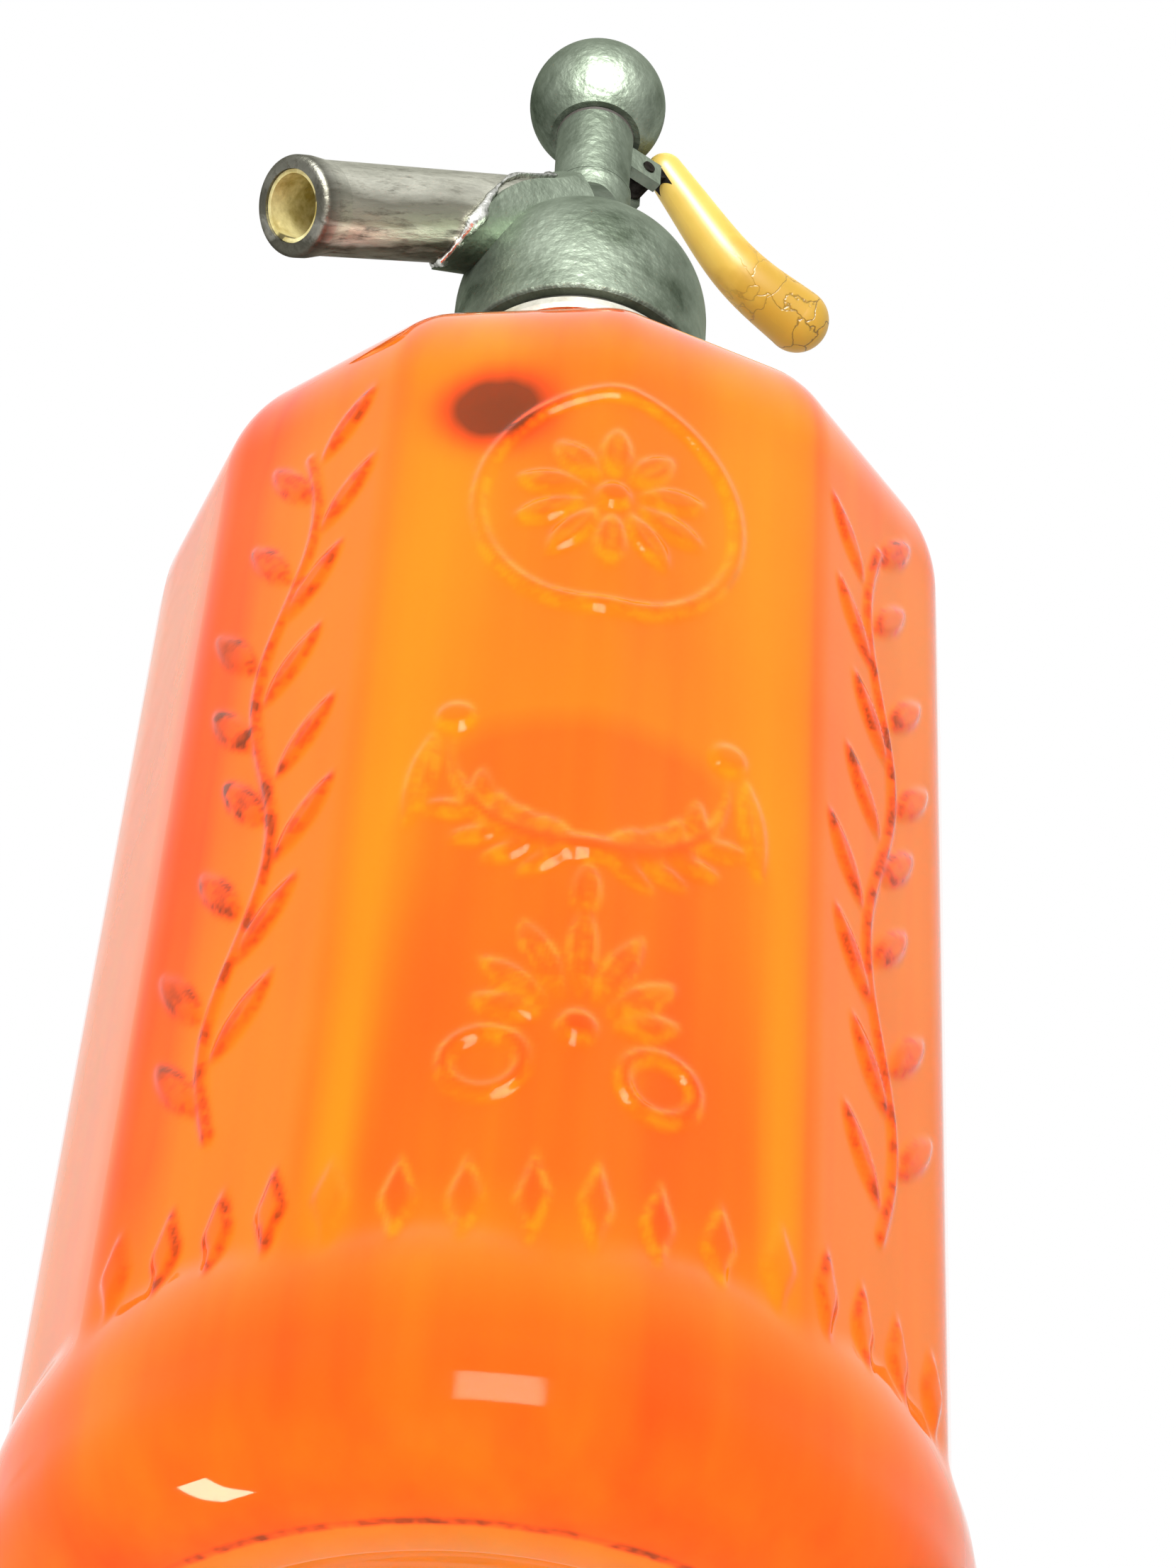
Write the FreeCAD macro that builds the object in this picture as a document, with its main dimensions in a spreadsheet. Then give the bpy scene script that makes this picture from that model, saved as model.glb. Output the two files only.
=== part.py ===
"""Soda siphon: a twelve-sided glass bottle with a turned pewter head, a slanting spout and a side lever.

Millimetres, +Z up. The origin is the centre of the ring that the bottle stands on. The head's axis is Z, the
spout leaves towards -X and the lever towards +X.
"""
import FreeCAD, Part
import math
import os
from types import SimpleNamespace

import Sketcher

doc = FreeCAD.newDocument("soda_siphon")

# ---------------------------------------------------------------------------------------------------------
# Driving dimensions: name, value, what it measures
# ---------------------------------------------------------------------------------------------------------

DIMENSIONS = [
    # glass bottle
    ("flat_radius", 52.2, "bottle axis to the face of a panel"),
    ("facet_turn", 3.0, "degrees from +X to the first ridge between two panels"),
    ("ridge_round", 0.35, "how much of each sharp ridge the mould takes off"),
    ("glass_wall", 5.0, "thickness of the wall behind a panel"),
    ("heel_proud", 3.0, "how far the round band at the foot stands out from the panels"),
    ("heel_height", 18.0, "height at which the heel band starts to fade into the panels"),
    ("heel_round", 12.5, "rounding from the heel band to the standing ring"),
    ("heel_fade", 30.0, "radius of the curve that carries the heel band into the panels"),
    ("fade_sink", 4.0, "how deep that curve runs behind the panels"),
    ("stand_width", 3.7, "width of the flat standing ring"),
    ("punt_rise", 9.0, "rise of the hollow under the base"),
    ("floor_glass", 6.5, "thickness of the glass floor over the hollow"),
    ("floor_dish", 5.4, "how far the floor inside falls from its middle to its edge"),
    ("panel_top", 168.0, "height at which the panels start to bend into the shoulder"),
    ("neck_radius", 13.2, "outer radius of the glass neck"),
    ("neck_flare", 7.0, "radius of the hollow curve between shoulder and neck"),
    ("neck_height", 34.0, "from that curve to the top of the mouth"),
    ("neck_bore", 8.6, "radius of the mouth of the bottle"),
    ("bead_step", 2.2, "how far the bead round the mouth stands out"),
    ("bead_height", 6.0, "straight height of the bead"),
    ("bead_edge", 1.2, "rounding of the bead's upper edge"),
    # raised ornament on the glass
    ("relief_height", 0.8, "how far the ornament stands out"),
    ("medallion_centre", 143.0, "height of the middle of the oval medallion"),
    ("medallion_wide", 17.0, "half width of the medallion"),
    ("medallion_tall", 20.5, "half height of the medallion"),
    ("medallion_rim", 1.8, "width of its rim"),
    ("petal_start", 3.4, "middle of the flower to the start of a petal"),
    ("petal_length", 9.0, "length of a petal"),
    ("petal_half", 1.9, "half width of a petal"),
    ("swag_height", 100.5, "height of the studs that hold the swag"),
    ("swag_half", 16.0, "half the distance between those studs"),
    ("swag_sag", 15.0, "how far the swag hangs down"),
    ("swag_width", 3.2, "width of the swag at its lowest point"),
    ("stud_radius", 2.2, "radius of a round stud"),
    ("palmette_height", 57.5, "height of the foot of the palmette"),
    ("palmette_leaf", 13.5, "length of its middle leaf"),
    ("leaf_half", 1.6, "half width of a leaf"),
    ("curl_radius", 5.0, "radius of the scrolls beside the palmette"),
    ("curl_out", 9.5, "palmette's middle to the middle of a scroll"),
    ("band_height", 34.0, "height of the middle of the band of lozenges"),
    ("lozenge_tall", 6.0, "half height of a lozenge"),
    ("lozenge_wide", 1.9, "half width of a lozenge"),
    ("spray_foot", 48.0, "height of the foot of the leaf sprays"),
    ("spray_wave", 28.0, "length of one bow of a spray's stem"),
    ("spray_sag", 2.8, "how far each bow swings out"),
    ("stem_half", 0.6, "half width of the stem"),
    ("spray_leaf", 12.5, "length of a leaf of the spray"),
    # head
    ("skirt_depth", 14.2, "how far the head reaches down over the mouth"),
    ("skirt_play", 1.5, "between the glass bead and the skirt"),
    ("skirt_wall", 1.8, "wall of the skirt"),
    ("rim_edge", 0.5, "chamfer of the lower rim"),
    ("dome_lift", 0.3, "height of the dome's centre over the mouth"),
    ("foot_radius", 11.0, "radius at which the flared foot leaves the dome"),
    ("foot_sweep", 15.0, "radius of the hollow curve of the flared foot"),
    ("foot_rise", 30.1, "from the dome's centre to the joint between head and column"),
    ("foot_rim", 0.8, "height of the narrow rim on the foot"),
    ("foot_proud", 0.2, "how far that rim stands out from the column"),
    ("chamber_radius", 6.0, "radius of the valve chamber"),
    ("gland_depth", 8.4, "from the joint down to the top of the valve chamber"),
    ("gland_radius", 4.4, "radius of the packing recess above the chamber"),
    ("gland_floor", 1.2, "thickness of metal between chamber and packing recess"),
    ("packing_height", 2.3, "height of the packing with its gap"),
    ("nut_height", 2.0, "height of the packing nut"),
    ("port_radius", 2.3, "radius of the drilled way from the chamber to the spout"),
    ("socket_start", 8.0, "from the head's axis to where the spout's socket starts, along the spout"),
    ("socket_root", 2.6, "metal of the socket round the spout at its start"),
    ("socket_lip", 0.7, "metal of the socket round the spout at its outer end"),
    ("socket_reach", 5.0, "how far the socket reaches out from the dome and the foot"),
    ("gasket_height", 2.0, "thickness of the gasket on the mouth"),
    ("gasket_inset", 0.5, "how far the gasket stays inside the mouth's edges"),
    ("ring_groove", 1.3, "height of the groove between the rim and the lock ring's flange"),
    ("ring_flange", 2.2, "height of the lock ring's flange"),
    ("ring_inset", 0.7, "how far the flange stays inside the rim"),
    ("ring_soft", 0.5, "chamfer of the flange"),
    ("ring_thread", 4.2, "height of the lock ring's threaded part"),
    ("clamp_split", 4.0, "degrees between the two clamp halves"),
    ("fit", 0.05, "clearance of parts that are screwed or pushed together"),
    ("seat_gap", 0.1, "gap where one part rests on another"),
    ("neck_gap", 0.3, "clearance round the glass"),
    # spout
    ("spout_droop", 36.0, "degrees that the spout slants down"),
    ("spout_drop", 6.9, "from the joint down to where the spout's axis meets the head's axis"),
    ("spout_reach", 62.0, "from the head's axis to the mouth, along the spout"),
    ("spout_radius", 6.8, "outer radius of the spout"),
    ("lip_proud", 0.45, "how far the rolled lip stands out"),
    ("lip_length", 2.6, "length of the lip"),
    ("lip_fade", 3.0, "length over which the tube widens to the lip"),
    ("lip_round", 1.0, "rounding of the lip"),
    ("spout_core", 4.0, "radius of the cast way behind the liner"),
    ("spout_floor", 14.0, "from the head's axis to the inner end of that way, along the spout"),
    ("spout_bore", 4.6, "radius of the liner's bore"),
    ("liner_wall", 0.6, "wall of the brass liner"),
    ("liner_gap", 2.5, "from the widest reach of the head and tube to the liner's inner end"),
    ("liner_setback", 0.4, "how far the liner ends inside the mouth"),
    # column and cap
    ("column_radius", 6.0, "outer radius of the column"),
    ("column_waist", 0.2, "how much narrower the column is above its base"),
    ("base_ring", 0.9, "height of the column's base"),
    ("base_taper", 0.6, "height of the taper above that base"),
    ("pivot_rise", 11.1, "from the joint up to the lever's pin"),
    ("cap_rise", 3.9, "from the pin up to the shoulder that carries the cap"),
    ("thread_length", 3.0, "length of the column's threaded end"),
    ("thread_step", 0.6, "how much narrower that end is"),
    ("cap_gasket_height", 0.6, "thickness of the washer under the cap"),
    ("ball_radius", 10.7, "outer radius of the ball cap"),
    ("ball_seat", 1.0, "how far the ball's flat reaches beyond the column"),
    ("cap_wall", 2.3, "least wall of the cap round its hollow"),
    # valve
    ("rod_radius", 2.2, "radius of the valve rod"),
    ("rod_play", 0.5, "clearance round the rod in the column"),
    ("seat_rise", 8.9, "height of the valve seat's lip over the head's ceiling"),
    ("seat_height", 3.0, "height of the valve seat"),
    ("seat_bore", 2.6, "radius of the hole in the valve seat"),
    ("seat_lip", 1.1, "height of its raised lip"),
    ("seat_land", 0.8, "width of the lip's top"),
    ("seat_slope", 0.3, "how much wider the lip is at its foot"),
    ("disc_radius", 4.3, "radius of the rubber disc"),
    ("disc_height", 2.8, "thickness of the rubber disc"),
    ("screw_head", 1.2, "height of the screw's head under the disc"),
    ("screw_play", 0.7, "between that head and the seat's hole"),
    ("screw_depth", 2.6, "how far the screw goes into the rod"),
    ("collar_height", 1.4, "height of the rod's collar over the disc"),
    ("collar_slope", 1.0, "height of the taper over the collar"),
    ("tip_step", 0.8, "how much narrower the rod's tip is"),
    ("tip_length", 3.0, "length of the tip"),
    ("plate_gap", 0.2, "from the column's threaded end to the plate under the spring"),
    ("plate_thick", 1.1, "thickness of that plate"),
    ("plate_rim", 0.6, "how far it reaches beyond the spring"),
    ("spring_radius", 3.6, "mean radius of the spring"),
    ("spring_wire", 0.45, "radius of the spring's wire"),
    ("spring_pitch", 2.0, "pitch of the spring's turns"),
    # dip tube
    ("tube_radius", 3.6, "outer radius of the glass dip tube"),
    ("tube_bore", 2.3, "bore of the dip tube"),
    ("tube_clear", 8.5, "from the glass floor to the open lower end of the dip tube"),
    ("tube_rise", 0.9, "how far the tube reaches above the head's ceiling"),
    ("sleeve_wall", 1.4, "wall of the rubber sleeve on the tube"),
    ("sleeve_gap", 0.6, "from the sleeve's top to the tube's top"),
    ("socket_depth", 8.0, "depth of the socket that holds the tube"),
    ("ferrule_play", 1.4, "between the ferrule and the bottle's mouth"),
    # lever
    ("pivot_out", 8.0, "head's axis to the lever's pin"),
    ("pin_radius", 1.0, "radius of the lever's pin"),
    ("pin_proud", 0.3, "how far the pin stands out of each ear"),
    ("arm_thick", 3.0, "thickness of the lever's arm"),
    ("arm_play", 0.2, "clearance each side of the arm"),
    ("ear_thick", 1.9, "thickness of each ear that holds the pin"),
    ("ear_length", 2.4, "metal of the ears beyond the pin"),
    ("window_sill", 1.2, "room in the column's window under the ears"),
    ("window_head", 0.6, "metal between the window and the cap's shoulder"),
    ("nose_in", 1.0, "head's axis to the end of the lever's nose"),
    ("nose_height", 2.0, "height of the nose"),
    ("notch_play", 0.3, "gap above and below the nose in the rod's notch"),
    ("eye_wall", 1.1, "metal of the arm round the pin"),
    ("arm_back", 0.9, "how far the arm's back reaches past the eye"),
    ("arm_neck", 2.9, "depth of the arm where it enters the grip"),
    ("grip_forward", 5.6, "pin to the upper end of the grip's centre line"),
    ("grip_lift", 7.3, "height of that end over the pin"),
    ("grip_slope", 42.0, "degrees that the upper part of the grip slants down"),
    ("grip_straight", 14.0, "length of the grip's upper part"),
    ("grip_bend", 22.0, "radius of the grip's bend"),
    ("grip_turn", 32.0, "degrees that the grip bends back up"),
    ("grip_tail", 6.0, "length of the grip's last part"),
    ("grip_thin", 3.0, "radius of the grip's upper end"),
    ("grip_thick", 5.1, "radius of the grip's lower end"),
    ("tang_length", 11.0, "length of the arm's tang inside the grip"),
]

sheet = doc.addObject("Spreadsheet::Sheet", "dims")
for row, (name, value, note) in enumerate(DIMENSIONS, start=1):
    sheet.set("A%d" % row, name)
    sheet.set("B%d" % row, str(value))
    sheet.set("C%d" % row, note)
    sheet.setAlias("B%d" % row, name)
doc.recompute()


class Size:
    """A length that knows its number and the formula that binds it to the sheet."""

    def __init__(self, number, text):
        self.number = number
        self.text = text

    def joined(self, sign, other, number):
        return Size(number, "(%s %s %s)" % (self.text, sign, as_size(other).text))

    def __add__(self, other):
        return self.joined("+", other, self.number + as_size(other).number)

    def __sub__(self, other):
        return self.joined("-", other, self.number - as_size(other).number)

    def __mul__(self, other):
        return self.joined("*", other, self.number * as_size(other).number)

    def __truediv__(self, other):
        return self.joined("/", other, self.number / as_size(other).number)

    def __neg__(self):
        return Size(-self.number, "(-1 * %s)" % self.text)


def as_size(value):
    return value if isinstance(value, Size) else Size(float(value), repr(float(value)))


def root(size):
    return Size(math.sqrt(size.number), "sqrt(%s)" % size.text)


def cosine(size):
    return Size(math.cos(math.radians(size.number)), "cos(%s * 1 deg)" % size.text)


def sine(size):
    return Size(math.sin(math.radians(size.number)), "sin(%s * 1 deg)" % size.text)


dim = SimpleNamespace(**{name: Size(float(sheet.get(name)), "dims." + name) for name, _, _ in DIMENSIONS})
ORIGIN = as_size(0)
parts = {}


def bind(thing, **sizes):
    """Set properties of a document object and tie them to the sheet."""
    for prop, size in sizes.items():
        setattr(thing, prop, as_size(size).number)
        thing.setExpression(prop, as_size(size).text)


def keep(thing, label):
    """Name a finished piece; the label is also the name of its file."""
    thing.Label = label
    parts[label] = thing
    return thing


# ---------------------------------------------------------------------------------------------------------
# Outlines and the solids made from them
# ---------------------------------------------------------------------------------------------------------

ON_AXIS = 1e-9


def chord(first, last):
    """The straight distance between two corners."""
    across, up = first[0] - last[0], first[1] - last[1]
    return root(across * across + up * up)


def pin_corner(sketch, edge, point, across, up):
    """Fix a point of an edge at its two distances from the sketch's axes."""
    for axis, kind, size in ((-2, "DistanceX", across), (-1, "DistanceY", up)):
        if abs(size.number) < ON_AXIS:
            sketch.addConstraint(Sketcher.Constraint("PointOnObject", edge, point, axis))
            continue
        rule = sketch.addConstraint(Sketcher.Constraint(kind, -1, 1, edge, point, size.number))
        sketch.setExpression("Constraints[%d]" % rule, size.text)


def draw(sketch, corners):
    """Add a closed loop to a sketch, with every corner tied to the sheet.

    A corner is (across, up). With a third and a fourth value, (across, up, radius, side), the way to it from
    the corner before is an arc of that radius, with its centre on the left (1) or right (-1) of the way. A
    loop of one corner, (across, up, radius), is a circle.
    """
    if len(corners) == 1:
        across, up, radius = (as_size(value) for value in corners[0])
        middle = FreeCAD.Vector(across.number, up.number, 0)
        edge = sketch.addGeometry(Part.Circle(middle, FreeCAD.Vector(0, 0, 1), radius.number), False)
        rule = sketch.addConstraint(Sketcher.Constraint("Radius", edge, radius.number))
        sketch.setExpression("Constraints[%d]" % rule, radius.text)
        pin_corner(sketch, edge, 3, across, up)
        return
    places = [FreeCAD.Vector(as_size(c[0]).number, as_size(c[1]).number, 0) for c in corners]
    ends = []
    for index, corner in enumerate(corners):
        here, there = places[index - 1], places[index]
        if len(corner) == 2:
            edge = sketch.addGeometry(Part.LineSegment(here, there), False)
            ends.append((edge, 1, 2))
            continue
        radius, side = as_size(corner[2]), corner[3]
        way = there - here
        height = math.sqrt(max(radius.number ** 2 - way.Length ** 2 / 4, 0.0))
        left = FreeCAD.Vector(-way.y, way.x, 0).normalize()
        centre = (here + there) * 0.5 + left * height * side
        first, last = (here, there) if side == 1 else (there, here)
        turn = [math.atan2(p.y - centre.y, p.x - centre.x) for p in (first, last)]
        circle = Part.Circle(centre, FreeCAD.Vector(0, 0, 1), radius.number)
        edge = sketch.addGeometry(Part.ArcOfCircle(circle, turn[0], turn[1]), False)
        ends.append((edge, 1, 2) if side == 1 else (edge, 2, 1))
        rule = sketch.addConstraint(Sketcher.Constraint("Radius", edge, radius.number))
        sketch.setExpression("Constraints[%d]" % rule, radius.text)
    for index, corner in enumerate(corners):
        edge, _, finish = ends[index]
        after, begin, _ = ends[(index + 1) % len(corners)]
        sketch.addConstraint(Sketcher.Constraint("Coincident", edge, finish, after, begin))
        pin_corner(sketch, edge, finish, as_size(corner[0]), as_size(corner[1]))


def outline(body, name, corners):
    """A closed outline on the body's XZ plane."""
    plane = next(item for item in body.Origin.OriginFeatures if item.Role == "XZ_Plane")
    sketch = body.newObject("Sketcher::SketchObject", name)
    sketch.AttachmentSupport = (plane, [""])
    sketch.MapMode = "FlatFace"
    draw(sketch, corners)
    return sketch


def turned(name, corners, sweep=360):
    """A body turned about Z from an outline."""
    body = doc.addObject("PartDesign::Body", name)
    sketch = outline(body, name + "_outline", corners)
    lathe = body.newObject("PartDesign::Revolution", name + "_turned")
    lathe.Profile = sketch
    lathe.ReferenceAxis = (sketch, ["V_Axis"])
    bind(lathe, Angle=sweep)
    return body


def plate(name, corners, thickness):
    """A body cut to an outline on the XZ plane, with its thickness shared each side of it."""
    body = doc.addObject("PartDesign::Body", name)
    sketch = outline(body, name + "_outline", corners)
    pad = body.newObject("PartDesign::Pad", name + "_pad")
    pad.Profile = sketch
    pad.SideType = "Symmetric"
    bind(pad, Length=thickness)
    return body


def sleeve(name, inner, outer, bottom, top):
    """A plain ring or tube about Z."""
    return turned(name, [(inner, bottom), (outer, bottom), (outer, top), (inner, top)])


def cross_pin(name, radius, length, across, up):
    """A cylinder along Y, centred on the XZ plane."""
    pin = doc.addObject("Part::Cylinder", name)
    bind(pin, Radius=radius, Height=length)
    pin.Placement = FreeCAD.Placement(FreeCAD.Vector(), FreeCAD.Rotation(FreeCAD.Vector(1, 0, 0), -90))
    pin.setExpression("Placement.Base.x", across.text)
    pin.setExpression("Placement.Base.y", (-length / 2).text)
    pin.setExpression("Placement.Base.z", up.text)
    return pin


def block(name, low_x, high_x, width, low_z, high_z):
    """A box centred on the XZ plane."""
    box = doc.addObject("Part::Box", name)
    bind(box, Length=high_x - low_x, Width=width, Height=high_z - low_z)
    box.setExpression("Placement.Base.x", low_x.text)
    box.setExpression("Placement.Base.y", (-width / 2).text)
    box.setExpression("Placement.Base.z", low_z.text)
    return box


def along_spout(thing):
    """Lay an object made about Z along the spout's axis, which starts on the head's axis."""
    thing.Placement = FreeCAD.Placement(FreeCAD.Vector(), FreeCAD.Rotation(FreeCAD.Vector(0, -1, 0), 90))
    thing.setExpression("Placement.Base.z", spout_root.text)
    thing.setExpression("Placement.Rotation.Angle", (dim.spout_droop + 90).text)
    return thing


def cut(name, base, *tools):
    """The base with each tool taken out of it."""
    for index, tool in enumerate(tools):
        result = doc.addObject("Part::Cut", "%s_%d" % (name, index))
        result.Base = base
        result.Tool = tool
        base = result
    return base


def joined(name, *pieces):
    result = doc.addObject("Part::MultiFuse", name)
    result.Shapes = list(pieces)
    return result


# ---------------------------------------------------------------------------------------------------------
# Glass bottle
# ---------------------------------------------------------------------------------------------------------

SIDES = 12
PANEL = 360.0 / SIDES
beyond = dim.glass_wall
heel_radius = dim.flat_radius + dim.heel_proud
throat = dim.neck_radius + dim.neck_flare
shoulder_bend = dim.flat_radius - throat
shoulder_top = dim.panel_top + shoulder_bend
mouth_top = shoulder_top + dim.neck_flare + dim.neck_height
bead_radius = dim.neck_radius + dim.bead_step
bead_under = mouth_top - dim.bead_height
stand_outer = heel_radius - dim.heel_round
stand_inner = stand_outer - dim.stand_width
punt_sweep = (stand_inner * stand_inner + dim.punt_rise * dim.punt_rise) / (dim.punt_rise * 2)
inner_radius = dim.flat_radius - dim.glass_wall
floor_top = dim.punt_rise + dim.floor_glass
floor_round = dim.heel_round - dim.glass_wall / 2
floor_edge = inner_radius - floor_round
floor_side = floor_top - dim.floor_dish
floor_sweep = (floor_edge * floor_edge + dim.floor_dish * dim.floor_dish) / (dim.floor_dish * 2)
fade_radius = dim.flat_radius - dim.fade_sink
fade_reach = dim.heel_fade - dim.heel_proud - dim.fade_sink
fade_top = dim.heel_height + root(dim.heel_fade * dim.heel_fade - fade_reach * fade_reach)


def twelve_panels(name, grow):
    """The twelve flat panels with their bend into the shoulder, grown outwards by a small height."""
    flat = dim.flat_radius + grow
    corner = flat / math.cos(math.pi / SIDES) - dim.ridge_round
    prism = turned(name, [(0, dim.heel_round), (corner, dim.heel_round), (corner, shoulder_top),
                          (0, shoulder_top)])
    facet_outline = outline(prism, name + "_facet_outline", [
        (flat, dim.heel_round - beyond), (flat, dim.panel_top),
        (throat, shoulder_top + grow, shoulder_bend + grow, 1), (throat, shoulder_top + beyond),
        (flat + beyond, shoulder_top + beyond), (flat + beyond, dim.heel_round - beyond)])
    facet = prism.newObject("PartDesign::Pocket", name + "_facet")
    facet.Profile = facet_outline
    facet.SideType = "Symmetric"
    bind(facet, Length=flat)
    facets = prism.newObject("PartDesign::PolarPattern", name + "_facets")
    facets.Originals = [facet]
    facets.Axis = (facet_outline, ["V_Axis"])
    facets.Angle = 360
    facets.Occurrences = SIDES
    prism.Tip = facets
    prism.Placement = FreeCAD.Placement(FreeCAD.Vector(), FreeCAD.Rotation(FreeCAD.Vector(0, 0, 1), 1))
    prism.setExpression("Placement.Rotation.Angle", (dim.facet_turn + PANEL / 2).text)
    return prism


panels = twelve_panels("panels", ORIGIN)
heel = turned("heel", [
    (0, dim.punt_rise), (stand_inner, 0, punt_sweep, -1), (stand_outer, 0),
    (heel_radius, dim.heel_round, dim.heel_round, 1), (heel_radius, dim.heel_height),
    (fade_radius, fade_top, dim.heel_fade, 1), (0, fade_top)])
neck = turned("neck", [
    (0, shoulder_top - beyond), (throat, shoulder_top - beyond), (throat, shoulder_top),
    (dim.neck_radius, shoulder_top + dim.neck_flare, dim.neck_flare, -1),
    (dim.neck_radius, bead_under - dim.bead_step), (bead_radius, bead_under),
    (bead_radius, mouth_top - dim.bead_edge), (bead_radius - dim.bead_edge, mouth_top, dim.bead_edge, 1),
    (0, mouth_top)])
hollow_bend = shoulder_bend - dim.glass_wall
hollow_top = dim.panel_top + hollow_bend
hollow_flare = throat - dim.neck_bore
hollow = turned("hollow", [
    (0, floor_top), (floor_edge, floor_side, floor_sweep, -1),
    (inner_radius, floor_side + floor_round, floor_round, 1), (inner_radius, dim.panel_top),
    (throat, hollow_top, hollow_bend, 1),
    (dim.neck_bore, hollow_top + hollow_flare, hollow_flare, -1),
    (dim.neck_bore, mouth_top + beyond), (0, mouth_top + beyond)])

# ---------------------------------------------------------------------------------------------------------
# Raised ornament: flat motifs run out from the bottle's axis and cut off a little outside the panels
# ---------------------------------------------------------------------------------------------------------

PETALS = 10
FAN = ((0, 1.0), (24, 0.92), (-24, 0.92), (48, 0.77), (-48, 0.77), (70, 0.58), (-70, 0.58))
LOZENGES = 4
SPRAY_LEAVES = 16
SPRAY_BOWS = 4
SPRAY_LEAN = 36
ornament_ridge = dim.facet_turn + 2 * PANEL
stood_up = FreeCAD.Rotation(FreeCAD.Vector(1, 0, 0), 90)
upright = FreeCAD.Rotation(FreeCAD.Vector(0, 0, 1), -90).multiply(stood_up)
motifs = []


def facing(thing, turn):
    """Turn a motif that faces -X about Z, to face out at an angle past -X."""
    thing.Placement = FreeCAD.Placement(FreeCAD.Vector(), FreeCAD.Rotation(FreeCAD.Vector(0, 0, 1), 1))
    thing.setExpression("Placement.Rotation.Angle", turn.text)
    motifs.append(thing)


def run_out(name, profile):
    """Run a flat profile out from the bottle's axis."""
    boss = doc.addObject("Part::Extrusion", name)
    boss.Base = profile
    boss.DirMode = "Normal"
    boss.Solid = True
    boss.FaceMakerClass = "Part::FaceMakerBullseye"
    bind(boss, LengthFwd=heel_radius)
    return boss


def motif(name, turn, loops):
    """A motif of closed loops of corners, across from its middle and up from the base."""
    sketch = doc.addObject("Sketcher::SketchObject", name + "_outline")
    sketch.Placement = FreeCAD.Placement(FreeCAD.Vector(), upright)
    for corners in loops:
        draw(sketch, corners)
    facing(run_out(name, sketch), turn)


def leaf(across, up, heading, length, half):
    """Two equal arcs from a leaf's foot to its tip; the heading is in degrees from straight up, clockwise."""
    bow = (length * length / 4 + half * half) / (half * 2)
    turn = math.radians(heading)
    return [(across, up, bow, 1), (across + length * math.sin(turn), up + length * math.cos(turn), bow, 1)]


def stud(across, up, radius):
    """A round stud."""
    return [(across, up, radius)]


def band_ring(across, up, radius, width):
    """A flat ring."""
    return [stud(across, up, radius), stud(across, up, radius - width)]


def oval(name, wide, tall):
    """An upright oval run out from the axis; its middle is the medallion's."""
    hoop = doc.addObject("Part::Ellipse", name + "_line")
    bind(hoop, MajorRadius=tall, MinorRadius=wide)
    hoop.Placement = FreeCAD.Placement(FreeCAD.Vector(), FreeCAD.Rotation(FreeCAD.Vector(0, 1, 0), -90))
    hoop.setExpression("Placement.Base.z", dim.medallion_centre.text)
    return run_out(name, hoop)


rim_outside = oval("rim_outside", dim.medallion_wide, dim.medallion_tall)
rim_inside = oval("rim_inside", dim.medallion_wide - dim.medallion_rim,
                  dim.medallion_tall - dim.medallion_rim)
facing(cut("medallion_rim", rim_outside, rim_inside), ornament_ridge)
flower = [stud(ORIGIN, dim.medallion_centre, dim.petal_start - dim.stem_half * 2)]
for index in range(PETALS):
    heading = 360.0 * index / PETALS
    turn = math.radians(heading)
    flower.append(leaf(dim.petal_start * math.sin(turn),
                       dim.medallion_centre + dim.petal_start * math.cos(turn),
                       heading, dim.petal_length, dim.petal_half))
motif("flower", ornament_ridge, flower)

swag_low = dim.swag_height - dim.swag_sag
swag_bow = (dim.swag_half * dim.swag_half + dim.swag_sag * dim.swag_sag) / (dim.swag_sag * 2)
swag_dip = dim.swag_sag + dim.swag_width
swag_outer = (dim.swag_half * dim.swag_half + swag_dip * swag_dip) / (swag_dip * 2)
motif("swag", ornament_ridge, [
    [(-dim.swag_half, dim.swag_height), (ORIGIN, swag_low - dim.swag_width, swag_outer, 1),
     (dim.swag_half, dim.swag_height, swag_outer, 1), (ORIGIN, swag_low, swag_bow, -1),
     (-dim.swag_half, dim.swag_height, swag_bow, -1)][1:]])
motif("swag_studs", ornament_ridge, [
    stud(-dim.swag_half, dim.swag_height + dim.stud_radius * 2, dim.stud_radius),
    stud(dim.swag_half, dim.swag_height + dim.stud_radius * 2, dim.stud_radius)])

fan = [leaf(dim.stud_radius * math.sin(math.radians(heading)) * 2,
            dim.palmette_height + dim.stud_radius * math.cos(math.radians(heading)) * 2,
            heading, dim.palmette_leaf * share, dim.leaf_half) for heading, share in FAN]
curls = band_ring(-dim.curl_out, dim.palmette_height - dim.curl_radius, dim.curl_radius, dim.stem_half * 3)
curls += band_ring(dim.curl_out, dim.palmette_height - dim.curl_radius, dim.curl_radius, dim.stem_half * 3)
motif("palmette", ornament_ridge, [stud(ORIGIN, dim.palmette_height, dim.stud_radius), *fan, *curls])

panel_half = dim.flat_radius * math.tan(math.radians(PANEL / 2))
for panel in (-1.5, -0.5, 0.5, 1.5):
    lozenges = []
    for index in range(LOZENGES):
        middle = panel_half * ((2 * index + 1) / LOZENGES - 1)
        lozenges.append([
            (middle, dim.band_height - dim.lozenge_tall), (middle + dim.lozenge_wide, dim.band_height),
            (middle, dim.band_height + dim.lozenge_tall), (middle - dim.lozenge_wide, dim.band_height)])
    motif("lozenges_%d" % (panel * 2 + 3), ornament_ridge + panel * PANEL, lozenges)

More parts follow.
